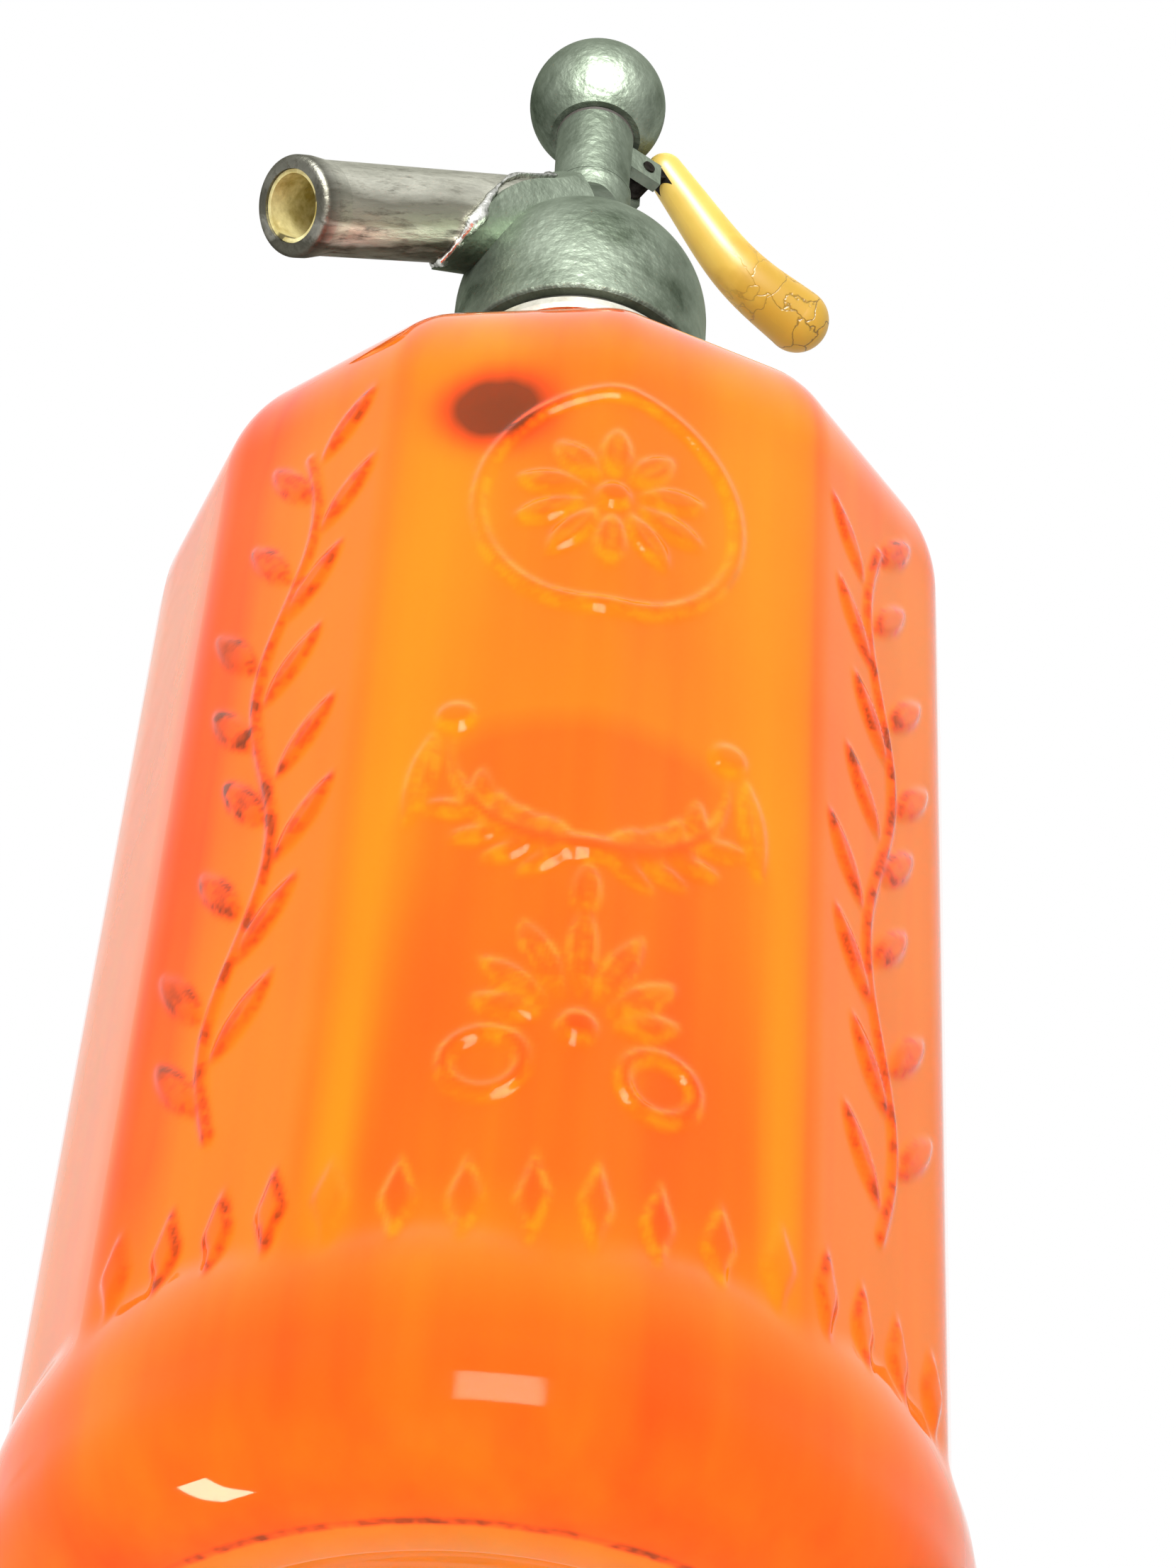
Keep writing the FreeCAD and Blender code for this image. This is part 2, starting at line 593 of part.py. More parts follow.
bow_radius = (dim.spray_wave * dim.spray_wave / 4 + dim.spray_sag * dim.spray_sag) / (dim.spray_sag * 2)
swing = dim.stem_half * (bow_radius - dim.spray_sag) / bow_radius
slip = dim.stem_half * dim.spray_wave / (bow_radius * 2)
for name, panel, hand in (("left_spray", -1.5, -1), ("right_spray", 1.5, 1)):
    rising, falling = [], []
    for bow in range(SPRAY_BOWS + 1):
        side = hand if bow % 2 else -hand
        lean = slip * side
        joint = dim.spray_foot + dim.spray_wave * bow
        near, far = bow_radius + dim.stem_half * side, bow_radius - dim.stem_half * side
        rising.append((swing, joint + lean, near, side) if bow else (swing, joint + lean))
        falling.insert(0, (-swing, joint - lean, far, side))
    tops = [(falling[0][0], falling[0][1])]
    tops += [(corner[0], corner[1], above[2], -above[3]) for above, corner in zip(falling[:-1], falling[1:])]
    motif(name + "_stem", ornament_ridge + panel * PANEL, [rising + tops])
    leaves = []
    for index in range(SPRAY_LEAVES):
        share = (index + 0.5) / SPRAY_LEAVES * SPRAY_BOWS
        side = 1 if index % 2 else -1
        sway = math.sin(math.pi * share) * hand
        leaves.append(leaf(dim.spray_sag * sway + dim.stem_half * 2 * side,
                           dim.spray_foot + dim.spray_wave * share + dim.stem_half * 2,
                           SPRAY_LEAN * side, dim.spray_leaf, dim.leaf_half))
    motif(name + "_leaves", ornament_ridge + panel * PANEL, leaves)

bosses = doc.addObject("Part::Compound", "bosses")
bosses.Links = motifs
ornament = doc.addObject("Part::Common", "ornament")
ornament.Base = twelve_panels("ornament_face", dim.relief_height)
ornament.Tool = bosses
keep(cut("glass_bottle", joined("blown", panels, heel, neck, ornament), hollow), "glass_bottle")

# ---------------------------------------------------------------------------------------------------------
# What holds the head on the bottle
# ---------------------------------------------------------------------------------------------------------

skirt_bore = bead_radius + dim.skirt_play
dome_radius = skirt_bore + dim.skirt_wall
dome_centre = mouth_top + dim.dome_lift
rim_height = mouth_top - dim.skirt_depth
ceiling = mouth_top + dim.gasket_height + dim.seat_gap
ring_bore = dim.neck_radius + dim.neck_gap
ring_top = rim_height + dim.ring_thread
clamp_low = ring_top + dim.seat_gap
clamp_outer = skirt_bore - dim.neck_gap
clamp_high = bead_under - dim.seat_gap

keep(sleeve("gasket", dim.neck_bore + dim.gasket_inset, bead_radius - dim.gasket_inset, mouth_top,
            mouth_top + dim.gasket_height), "neck_gasket")

flange_top = rim_height - dim.ring_groove
flange_low = flange_top - dim.ring_flange
flange_edge = dome_radius - dim.ring_inset
keep(turned("ring", [
    (ring_bore, flange_low), (flange_edge - dim.ring_soft, flange_low),
    (flange_edge, flange_low + dim.ring_soft), (flange_edge, flange_top - dim.ring_soft),
    (flange_edge - dim.ring_soft, flange_top), (skirt_bore - dim.fit, flange_top),
    (skirt_bore - dim.fit, ring_top), (ring_bore, ring_top)]), "lock_ring")

for side, turn in (("left", 90), ("right", 270)):
    half = turned("clamp_" + side, [
        (ring_bore, clamp_low), (clamp_outer, clamp_low), (clamp_outer, clamp_high),
        (bead_radius, clamp_high), (ring_bore, clamp_high - dim.bead_step + dim.neck_gap)],
        sweep=-dim.clamp_split + 180)
    half.Placement = FreeCAD.Placement(FreeCAD.Vector(), FreeCAD.Rotation(FreeCAD.Vector(0, 0, 1), turn))
    half.setExpression("Placement.Rotation.Angle", (dim.clamp_split / 2 + turn).text)
    keep(half, "clamp_half_" + side)

# ---------------------------------------------------------------------------------------------------------
# Head
# ---------------------------------------------------------------------------------------------------------

head_top = dome_centre + dim.foot_rise
spout_root = head_top - dim.spout_drop
foot_start = dome_centre + root(dome_radius * dome_radius - dim.foot_radius * dim.foot_radius)
foot_edge = dim.column_radius + dim.foot_proud
chamber_top = head_top - dim.gland_depth
gland_low = chamber_top + dim.gland_floor
rod_hole_radius = dim.rod_radius + dim.fit


def head_outside(grow):
    """The outer line of the head from its rim to its top, grown outwards by a small gap."""
    return [(dome_radius + grow, dome_centre),
            (dim.foot_radius + grow, foot_start, dome_radius + grow, 1),
            (foot_edge + grow, head_top - dim.foot_rim, dim.foot_sweep, -1),
            (foot_edge + grow, head_top)]


head_turned = turned("head_turned", [
    (dome_radius, rim_height + dim.rim_edge), *head_outside(ORIGIN), (0, head_top), (0, ceiling),
    (skirt_bore, ceiling), (skirt_bore, rim_height), (dome_radius - dim.rim_edge, rim_height)])

# The cast socket round the spout: it tapers outwards and ends at an even distance from the head's outside.
socket_cone = along_spout(turned("socket_cone", [
    (dim.spout_radius + dim.fit, dim.socket_start),
    (dim.spout_radius + dim.socket_root, dim.socket_start),
    (dim.spout_radius + dim.socket_lip, dome_radius * 2), (dim.spout_radius + dim.fit, dome_radius * 2)]))
socket = doc.addObject("Part::Common", "socket")
socket.Base = socket_cone
socket.Tool = turned("socket_reach", [
    (0, rim_height), (dome_radius + dim.socket_reach, rim_height), *head_outside(dim.socket_reach),
    (0, head_top)])

inside = turned("inside", [
    (0, rim_height - beyond), (skirt_bore, rim_height - beyond), (skirt_bore, ceiling),
    (dim.chamber_radius, ceiling), (dim.chamber_radius, chamber_top), (rod_hole_radius, chamber_top),
    (rod_hole_radius, gland_low), (dim.gland_radius, gland_low), (dim.gland_radius, head_top + beyond),
    (0, head_top + beyond)])
port = along_spout(sleeve("port", ORIGIN, dim.port_radius, dim.chamber_radius - dim.spout_core / 6,
                          dim.spout_floor + dim.fit))
core = along_spout(sleeve("core", ORIGIN, dim.spout_core, dim.spout_floor, dim.spout_reach))
keep(cut("head", joined("head_cast", head_turned, socket), inside, port, core), "head_body")

# ---------------------------------------------------------------------------------------------------------
# Spout: a pewter tube coped to the head's outside, with a brass liner pushed in from its mouth
# ---------------------------------------------------------------------------------------------------------

cope = turned("cope", [(0, rim_height - beyond), (dome_radius + dim.fit, rim_height - beyond),
                       *head_outside(dim.fit), (0, head_top)])
liner_radius = dim.spout_bore + dim.liner_wall
liner_end = dim.spout_reach - dim.liner_setback
liner_start = dome_radius + dim.spout_radius + dim.liner_gap
lip_radius = dim.spout_radius + dim.lip_proud
lip_start = dim.spout_reach - dim.lip_length
tube = along_spout(turned("tube", [
    (dim.spout_core, 0), (dim.spout_radius, 0), (dim.spout_radius, lip_start - dim.lip_fade),
    (lip_radius, lip_start), (lip_radius, dim.spout_reach - dim.lip_round),
    (lip_radius - dim.lip_round, dim.spout_reach, dim.lip_round, 1),
    (liner_radius + dim.fit, dim.spout_reach), (liner_radius + dim.fit, liner_start - dim.seat_gap),
    (dim.spout_core, liner_start - dim.seat_gap)]))
keep(cut("spout", tube, cope), "spout_tube")
keep(along_spout(sleeve("liner", dim.spout_bore, liner_radius, liner_start, liner_end)), "spout_liner")

# ---------------------------------------------------------------------------------------------------------
# Column with its ears, and the ball cap
# ---------------------------------------------------------------------------------------------------------

pivot_height = head_top + dim.pivot_rise
cap_joint = pivot_height + dim.cap_rise
thread_top = cap_joint + dim.thread_length
cap_thread = dim.column_radius - dim.thread_step
rod_way = dim.rod_radius + dim.rod_play
nut_low = gland_low + dim.packing_height
nut_high = nut_low + dim.nut_height
spigot_low = nut_high + dim.seat_gap
column_low = head_top + dim.seat_gap
base_top = column_low + dim.base_ring
column_turned = turned("column_turned", [
    (rod_way, spigot_low), (dim.gland_radius - dim.fit, spigot_low), (dim.gland_radius - dim.fit, column_low),
    (foot_edge, column_low), (foot_edge, base_top),
    (dim.column_radius - dim.column_waist, base_top + dim.base_taper), (dim.column_radius, cap_joint),
    (cap_thread, cap_joint), (cap_thread, thread_top), (rod_way, thread_top)])
slot_width = dim.arm_thick + dim.arm_play * 2
ear_low, ear_top = pivot_height - dim.ear_length, pivot_height + dim.ear_length
ear_end = dim.pivot_out + dim.ear_length
ears = block("ears", rod_way, ear_end, slot_width + dim.ear_thick * 2, ear_low, ear_top)
rod_hole = doc.addObject("Part::Cylinder", "rod_hole")
bind(rod_hole, Radius=rod_way, Height=thread_top - head_top)
rod_hole.setExpression("Placement.Base.z", head_top.text)
window = block("window", ORIGIN, ear_end + beyond, slot_width, ear_low - dim.window_sill,
               cap_joint - dim.window_head)
pin_hole = cross_pin("pin_hole", dim.pin_radius + dim.fit, slot_width + dim.ear_thick * 3, dim.pivot_out,
                     pivot_height)
keep(cut("column", joined("eared", column_turned, ears), rod_hole, window, pin_hole), "valve_column")

cap_bore = cap_thread + dim.fit
keep(sleeve("cap_washer", cap_bore, dim.column_radius, cap_joint, cap_joint + dim.cap_gasket_height),
     "cap_gasket")
ball_under = cap_joint + dim.cap_gasket_height + dim.seat_gap
ball_flat = dim.column_radius + dim.ball_seat
ball_centre = ball_under + root(dim.ball_radius * dim.ball_radius - ball_flat * ball_flat)
cavity_reach = dim.ball_radius - dim.cap_wall
cavity_top = ball_centre + root(cavity_reach * cavity_reach - cap_bore * cap_bore)
keep(turned("ball", [
    (cap_bore, ball_under), (ball_flat, ball_under), (dim.ball_radius, ball_centre, dim.ball_radius, 1),
    (0, ball_centre + dim.ball_radius, dim.ball_radius, 1), (0, cavity_top), (cap_bore, cavity_top)]),
    "ball_cap")

# ---------------------------------------------------------------------------------------------------------
# Valve
# ---------------------------------------------------------------------------------------------------------

seat_top = ceiling + dim.seat_rise
ferrule_top = seat_top - dim.seat_height
seat_outer = dim.chamber_radius - dim.fit
land = dim.seat_bore + dim.seat_land
keep(turned("seat", [
    (dim.seat_bore, ferrule_top + dim.seat_gap), (seat_outer, ferrule_top + dim.seat_gap),
    (seat_outer, seat_top - dim.seat_lip), (land + dim.seat_slope, seat_top - dim.seat_lip),
    (land, seat_top), (dim.seat_bore, seat_top)]), "valve_seat")

disc_low = seat_top + dim.seat_gap
disc_high = disc_low + dim.disc_height
screw_radius = dim.rod_radius / 2
keep(sleeve("disc", screw_radius + dim.fit, dim.disc_radius, disc_low, disc_high), "valve_disc")

plate_low = thread_top + dim.plate_gap
plate_top = plate_low + dim.plate_thick
tip_radius = dim.rod_radius - dim.tip_step
collar_top = disc_high + dim.collar_height
screw_end = disc_high + dim.screw_depth
rod_body = turned("rod_body", [
    (0, screw_end + dim.seat_gap), (screw_radius + dim.fit, screw_end + dim.seat_gap),
    (screw_radius + dim.fit, disc_high), (dim.disc_radius, disc_high), (dim.disc_radius, collar_top),
    (dim.rod_radius, collar_top + dim.collar_slope), (dim.rod_radius, plate_low), (tip_radius, plate_low),
    (tip_radius, plate_low + dim.tip_length), (0, plate_low + dim.tip_length)])
notch_half = dim.nose_height / 2 + dim.notch_play
notch = block("notch", dim.nose_in - dim.notch_play, dim.rod_radius * 2, dim.rod_radius * 3,
              pivot_height - notch_half, pivot_height + notch_half)
keep(cut("piston", rod_body, notch), "valve_piston")

head_of_screw = dim.seat_bore - dim.screw_play
keep(turned("screw", [
    (0, disc_low - dim.screw_head), (head_of_screw, disc_low - dim.screw_head), (head_of_screw, disc_low),
    (screw_radius, disc_low), (screw_radius, screw_end), (0, screw_end)]), "disc_screw")

keep(sleeve("packing", rod_hole_radius, dim.gland_radius - dim.fit, gland_low, nut_low - dim.seat_gap),
     "packing_ring")
keep(sleeve("nut", rod_hole_radius, dim.gland_radius - dim.fit, nut_low, nut_high), "packing_nut")
keep(sleeve("button", tip_radius + dim.fit, dim.spring_radius + dim.spring_wire + dim.plate_rim, plate_low,
            plate_top), "spring_plate")

coil_low = plate_top + dim.spring_wire + dim.seat_gap
coil = doc.addObject("Part::Helix", "coil")
bind(coil, Pitch=dim.spring_pitch, Radius=dim.spring_radius,
     Height=cavity_top - dim.spring_wire - dim.seat_gap - coil_low)
coil.setExpression("Placement.Base.z", coil_low.text)
wire = doc.addObject("Part::Circle", "wire")
bind(wire, Radius=dim.spring_wire)
wire.Placement = FreeCAD.Placement(FreeCAD.Vector(), FreeCAD.Rotation(FreeCAD.Vector(1, 0, 0), 90))
wire.setExpression("Placement.Base.x", dim.spring_radius.text)
wire.setExpression("Placement.Base.z", coil_low.text)
spring = doc.addObject("Part::Sweep", "spring")
spring.Sections = [wire]
spring.Spine = (coil, ["Edge1"])
spring.Solid = True
spring.Frenet = True
keep(spring, "return_spring")

# ---------------------------------------------------------------------------------------------------------
# Dip tube and what holds it
# ---------------------------------------------------------------------------------------------------------

tube_top = ceiling + dim.tube_rise
socket_low = tube_top - dim.socket_depth
socket_radius = dim.tube_radius + dim.sleeve_wall
ferrule_radius = dim.neck_bore - dim.ferrule_play
keep(sleeve("dip", dim.tube_bore, dim.tube_radius, floor_top + dim.tube_clear, tube_top), "dip_tube")
keep(sleeve("sleeve", dim.tube_radius + dim.fit, socket_radius, socket_low, tube_top - dim.sleeve_gap),
     "tube_gasket")
keep(turned("ferrule", [
    (socket_radius + dim.fit, socket_low), (ferrule_radius, socket_low),
    (ferrule_radius, ceiling - dim.seat_gap), (seat_outer, ceiling - dim.seat_gap), (seat_outer, ferrule_top),
    (dim.seat_bore, ferrule_top), (dim.seat_bore, tube_top + dim.seat_gap),
    (socket_radius + dim.fit, tube_top + dim.seat_gap)]), "tube_ferrule")

# ---------------------------------------------------------------------------------------------------------
# Lever: pin, arm and grip
# ---------------------------------------------------------------------------------------------------------

keep(cross_pin("pin", dim.pin_radius, slot_width + (dim.ear_thick + dim.pin_proud) * 2, dim.pivot_out,
               pivot_height), "lever_pin")

# The arm is a nose that reaches into the rod, an eye round the pin, a crooked neck, and a straight tang
# inside the grip. Each bent edge is an arc whose radius is a share of its chord.
SHARP_BEND, SOFT_BEND, FLAT_BEND = 0.75, 1.1, 1.4
grip_out, grip_height = dim.pivot_out + dim.grip_forward, pivot_height + dim.grip_lift
slope_cos, slope_sin = cosine(dim.grip_slope), sine(dim.grip_slope)
nose_half = dim.nose_height / 2
tang_out, tang_up = grip_out + slope_cos * dim.tang_length, grip_height - slope_sin * dim.tang_length
eye = dim.pin_radius + dim.eye_wall
eye_back = (dim.pivot_out - eye, pivot_height - nose_half)
eye_low = (dim.pivot_out, pivot_height - eye)
eye_front = (dim.pivot_out + eye, pivot_height - nose_half)
neck_low = (grip_out - slope_sin * nose_half, grip_height - dim.arm_neck - slope_cos * nose_half)
neck_high = (grip_out - dim.arm_neck / 2, grip_height - nose_half)
eye_high = (dim.pivot_out + dim.notch_play, pivot_height + eye + dim.notch_play)
back_low = (dim.pivot_out - eye - dim.arm_back, pivot_height + nose_half)
arm = plate("arm", [
    (dim.nose_in, pivot_height - nose_half), eye_back, (*eye_low, chord(eye_back, eye_low) * FLAT_BEND, 1),
    (*eye_front, chord(eye_low, eye_front) * SOFT_BEND, 1),
    (*neck_low, chord(eye_front, neck_low) * SOFT_BEND, -1),
    (tang_out - slope_sin * nose_half, tang_up - slope_cos * nose_half),
    (tang_out + slope_sin * nose_half, tang_up + slope_cos * nose_half),
    (grip_out + slope_sin * nose_half, grip_height + slope_cos * nose_half), neck_high,
    (*eye_high, chord(neck_high, eye_high) * FLAT_BEND, 1),
    (*back_low, chord(eye_high, back_low) * SOFT_BEND, 1), (dim.nose_in, pivot_height + nose_half)],
    dim.arm_thick)
arm_hole = cross_pin("arm_hole", dim.pin_radius + dim.fit, dim.arm_thick * 3, dim.pivot_out, pivot_height)
keep(cut("lever", arm, arm_hole), "lever_arm")

# The grip's centre line runs straight down the slope, bends back up on an arc and ends in a short straight.
grip_length = dim.grip_straight + dim.grip_bend * dim.grip_turn * math.radians(1) + dim.grip_tail
stations = []
for share in (0.0, 0.5, 1.0):
    stations.append((grip_out + slope_cos * dim.grip_straight * share,
                     grip_height - slope_sin * dim.grip_straight * share,
                     dim.grip_slope, dim.grip_straight * share))
bend_out, bend_up = stations[-1][0], stations[-1][1]
for share in (0.33, 0.67, 1.0):
    heading = dim.grip_slope - dim.grip_turn * share
    stations.append((bend_out + (slope_sin - sine(heading)) * dim.grip_bend,
                     bend_up - (cosine(heading) - slope_cos) * dim.grip_bend,
                     heading, dim.grip_straight + dim.grip_bend * dim.grip_turn * math.radians(share)))
last_out, last_up, last_heading, _ = stations[-1]
stations.append((last_out + cosine(last_heading) * dim.grip_tail,
                 last_up - sine(last_heading) * dim.grip_tail, last_heading, grip_length))

hoops = []
for index, (out, up, heading, run) in enumerate(stations):
    hoop = doc.addObject("Part::Circle", "hoop_%d" % index)
    bind(hoop, Radius=dim.grip_thin + (dim.grip_thick - dim.grip_thin) * run / grip_length)
    hoop.Placement = FreeCAD.Placement(FreeCAD.Vector(), FreeCAD.Rotation(FreeCAD.Vector(0, 1, 0), 90))
    hoop.setExpression("Placement.Base.x", out.text)
    hoop.setExpression("Placement.Base.z", up.text)
    hoop.setExpression("Placement.Rotation.Angle", (heading + 90).text)
    hoops.append(hoop)
skin = doc.addObject("Part::Loft", "skin")
skin.Sections = hoops
skin.Solid = True
skin.Ruled = False
knobs = []
for name, hoop in (("upper_knob", hoops[0]), ("lower_knob", hoops[-1])):
    knob = doc.addObject("Part::Sphere", name)
    knob.setExpression("Radius", hoop.Name + ".Radius")
    knob.setExpression("Placement.Base.x", hoop.Name + ".Placement.Base.x")
    knob.setExpression("Placement.Base.z", hoop.Name + ".Placement.Base.z")
    knobs.append(knob)
keep(cut("grip", joined("moulded", skin, *knobs), parts["lever_arm"]), "lever_grip")

# ---------------------------------------------------------------------------------------------------------
# Check and write
# ---------------------------------------------------------------------------------------------------------

doc.recompute()
for thing in doc.Objects:
    if "Invalid" in thing.State or "Error" in thing.State:
        raise RuntimeError("%s failed: %s" % (thing.Name, thing.State))
os.makedirs("parts", exist_ok=True)
for label, thing in parts.items():
    shape = thing.Shape
    if shape.isNull() or not shape.isValid() or not shape.Solids:
        raise RuntimeError("%s has no valid solid" % label)
for label, thing in parts.items():
    shape = thing.Shape
    shape.exportStep("parts/%s.step" % label)
    print("%-18s solids %d  volume %9.1f" % (label, len(shape.Solids), shape.Volume))
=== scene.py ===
import math
import bpy
import numpy as np
from mathutils import Matrix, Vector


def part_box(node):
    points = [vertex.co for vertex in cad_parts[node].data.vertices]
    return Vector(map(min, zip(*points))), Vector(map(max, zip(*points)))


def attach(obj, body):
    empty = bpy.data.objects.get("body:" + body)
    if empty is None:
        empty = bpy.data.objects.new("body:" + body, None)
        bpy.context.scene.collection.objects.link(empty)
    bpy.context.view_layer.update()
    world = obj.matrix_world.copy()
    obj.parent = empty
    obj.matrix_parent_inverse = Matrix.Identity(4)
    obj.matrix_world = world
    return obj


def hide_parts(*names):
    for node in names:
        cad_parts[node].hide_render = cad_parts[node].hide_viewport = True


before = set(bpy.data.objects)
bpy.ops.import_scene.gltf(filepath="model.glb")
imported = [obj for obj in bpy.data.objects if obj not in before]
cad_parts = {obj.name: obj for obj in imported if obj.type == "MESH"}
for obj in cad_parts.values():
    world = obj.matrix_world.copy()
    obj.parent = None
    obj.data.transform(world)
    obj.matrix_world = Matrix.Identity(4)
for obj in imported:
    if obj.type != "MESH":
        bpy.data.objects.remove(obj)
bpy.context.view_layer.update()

MM = 0.001
scene = bpy.context.scene
scene.view_settings.view_transform = "Standard"

# ---- Camera ---------------------------------------------------------------------------------------------
# It looks up at the siphon from in front of the spout, below the level of the base, with a slight roll: a
# long lens from under half a metre, and a small shift for the framing. Places here are in mm.
IMAGE_WIDTH = 1659
FOCAL_PIXELS = 5600
SHIFT_PIXELS = (-12.4, 81.1)
SENSOR_WIDTH = 36.0


def standing(axes, place):
    """World matrix of an object with these three axes, at a place in metres."""
    return Matrix([(*row, shift) for row, shift in zip(np.stack(axes, 1), place)] + [(0, 0, 0, 1)])


eye = np.array([-204.9, -313.1, -220.4])
right = np.array([0.7973, -0.6016, 0.0488])
up = np.array([-0.4439, -0.5296, 0.7228])
camera = bpy.data.objects.new("camera", bpy.data.cameras.new("camera"))
camera.matrix_world = standing([right, up, np.cross(right, up)], eye * MM)
camera.data.sensor_fit = "HORIZONTAL"
camera.data.sensor_width = SENSOR_WIDTH
camera.data.lens = SENSOR_WIDTH * FOCAL_PIXELS / IMAGE_WIDTH
camera.data.shift_x, camera.data.shift_y = (pixels / IMAGE_WIDTH for pixels in SHIFT_PIXELS)
camera.data.clip_start = 0.01
scene.collection.objects.link(camera)
scene.camera = camera


# ---- Studio ---------------------------------------------------------------------------------------------
# A pale floor, a white surround, soft lamps over and under the object and a tall window lamp in front. The
# floor is there for the camera's view from above only: light, and a look from below, pass through it.

def linear(hex_code):
    """sRGB hex to linear RGBA: each channel by the standard curve."""
    channels = np.array([int(hex_code[i:i + 2], 16) for i in (1, 3, 5)]) / 255
    curved = np.where(channels <= 0.04045, channels / 12.92, ((channels + 0.055) / 1.055) ** 2.4)
    return (*curved, 1.0)


def add(tree, kind, inputs=None, **settings):
    """One shader node with its settings; an input takes a value or another node's output socket."""
    made = tree.nodes.new(kind)
    for key, value in settings.items():
        setattr(made, key, value)
    for key, value in (inputs or {}).items():
        if isinstance(value, bpy.types.NodeSocket):
            tree.links.new(value, made.inputs[key])
        else:
            made.inputs[key].default_value = value
    return made


def blank(name):
    """An empty node material, its node tree and its output node."""
    made = bpy.data.materials.new(name)
    made.use_nodes = True
    made.node_tree.nodes.clear()
    return made, made.node_tree, made.node_tree.nodes.new("ShaderNodeOutputMaterial")


# The surround lights matt surfaces a little below white, and is white where it is seen, passed or mirrored.
SURROUND_LIGHT = 0.6
world = bpy.data.worlds.new("white_surround")
world.use_nodes = True
scene.world = world
tree = world.node_tree
tree.nodes.clear()
path = add(tree, "ShaderNodeLightPath")
seen = add(tree, "ShaderNodeMath", {0: path.outputs["Is Camera Ray"], 1: path.outputs["Is Transmission Ray"]},
           operation="MAXIMUM")
mirrored = add(tree, "ShaderNodeMath", {0: seen.outputs[0], 1: path.outputs["Is Glossy Ray"]},
               operation="MAXIMUM")
strength = add(tree, "ShaderNodeMapRange", {"Value": mirrored.outputs[0], "To Min": SURROUND_LIGHT,
                                            "To Max": 1.0})
sky = add(tree, "ShaderNodeBackground", {"Color": linear("#FFFFFF"), "Strength": strength.outputs["Result"]})
surround = tree.nodes.new("ShaderNodeOutputWorld")
tree.links.new(sky.outputs[0], surround.inputs["Surface"])

# Matt white paper seen from above, and clear from below and for every ray that isn't the camera's own.
FLOOR_HALF = 0.9
corners = np.array([(-1, -1, 0), (1, -1, 0), (1, 1, 0), (-1, 1, 0)]) * FLOOR_HALF
floor_mesh = bpy.data.meshes.new("floor")
floor_mesh.from_pydata(corners.tolist(), [], [(0, 1, 2, 3)])
floor = bpy.data.objects.new("floor", floor_mesh)
scene.collection.objects.link(floor)
made, tree, out = blank("matt_white_paper")
side = add(tree, "ShaderNodeNewGeometry")
path = add(tree, "ShaderNodeLightPath")
paper = add(tree, "ShaderNodeBsdfDiffuse", {"Color": linear("#F4F3EF")})
through = add(tree, "ShaderNodeBsdfTransparent")
not_camera = add(tree, "ShaderNodeMath", {0: 1.0, 1: path.outputs["Is Camera Ray"]}, operation="SUBTRACT")
clear = add(tree, "ShaderNodeMath", {0: side.outputs["Backfacing"], 1: not_camera.outputs[0]},
            operation="MAXIMUM")
mix = add(tree, "ShaderNodeMixShader", {0: clear.outputs[0], 1: paper.outputs[0], 2: through.outputs[0]})
tree.links.new(mix.outputs[0], out.inputs["Surface"])
floor_mesh.materials.append(made)

# Each lamp: name, place and aim in metres, width, height, lean in degrees, watts, whether it lights surfaces
# and whether glossy ones mirror it. The window is two lamps at one place: its mirror image is far brighter.
WINDOW_PLACE, WINDOW_AIM, WINDOW_WIDE, WINDOW_TALL = (-1.085, -1.742, 0.12), (0, 0, 0.1), 0.62, 0.95
for name, place, aim, wide, tall, lean, watts, lights, mirrors in (
        ("overhead_key_lamp", (-0.25, -0.25, 1.35), (0, 0, 0.15), 0.5, 0.5, 0, 6.0, True, False),
        ("overhead_fill_lamp", (0.32, -0.12, 1.3), (0, 0, 0.2), 0.4, 0.4, 0, 4.0, True, False),
        ("overhead_back_lamp", (0.02, 0.36, 1.3), (0, 0, 0.2), 0.4, 0.4, 0, 4.0, True, False),
        ("under_lamp", (-0.75, -0.8, -0.9), (0, 0, 0.05), 0.7, 0.7, 0, 7.0, True, False),
        ("window_lamp", WINDOW_PLACE, WINDOW_AIM, WINDOW_WIDE, WINDOW_TALL, 0, 27.0, True, False),
        ("window_pane_lamp", WINDOW_PLACE, WINDOW_AIM, WINDOW_WIDE, WINDOW_TALL, 0, 260.0, False, True),
        ("low_lamp", (-0.31, 0.14, -0.39), (-0.046, -0.02, 0), 0.2, 0.05, 60, 1.0, True, True)):
    lamp = bpy.data.objects.new(name, bpy.data.lights.new(name, "AREA"))
    lamp.data.shape = "RECTANGLE"
    lamp.data.size, lamp.data.size_y = wide, tall
    lamp.data.energy = watts
    toward = np.array(aim) - np.array(place)
    toward = toward / np.linalg.norm(toward)
    level = np.cross(toward, (0, 0, 1.0))
    level = level / np.linalg.norm(level)
    turn = math.radians(lean)
    side = level * math.cos(turn) + np.cross(level, toward) * math.sin(turn)
    lamp.matrix_world = standing([side, np.cross(side, toward), -toward], place)
    lamp.visible_diffuse = lamp.visible_transmission = lights
    lamp.visible_glossy = mirrors
    scene.collection.objects.link(lamp)


# ---- Glass bottle ---------------------------------------------------------------------------------------
# Pressed soda-lime glass in a strong orange, blown into a twelve-panel mould: soft ridges, a round heel band,
# a hollow base and raised ornament on the front panels. Sizes are in mm, "across" is from the axis.

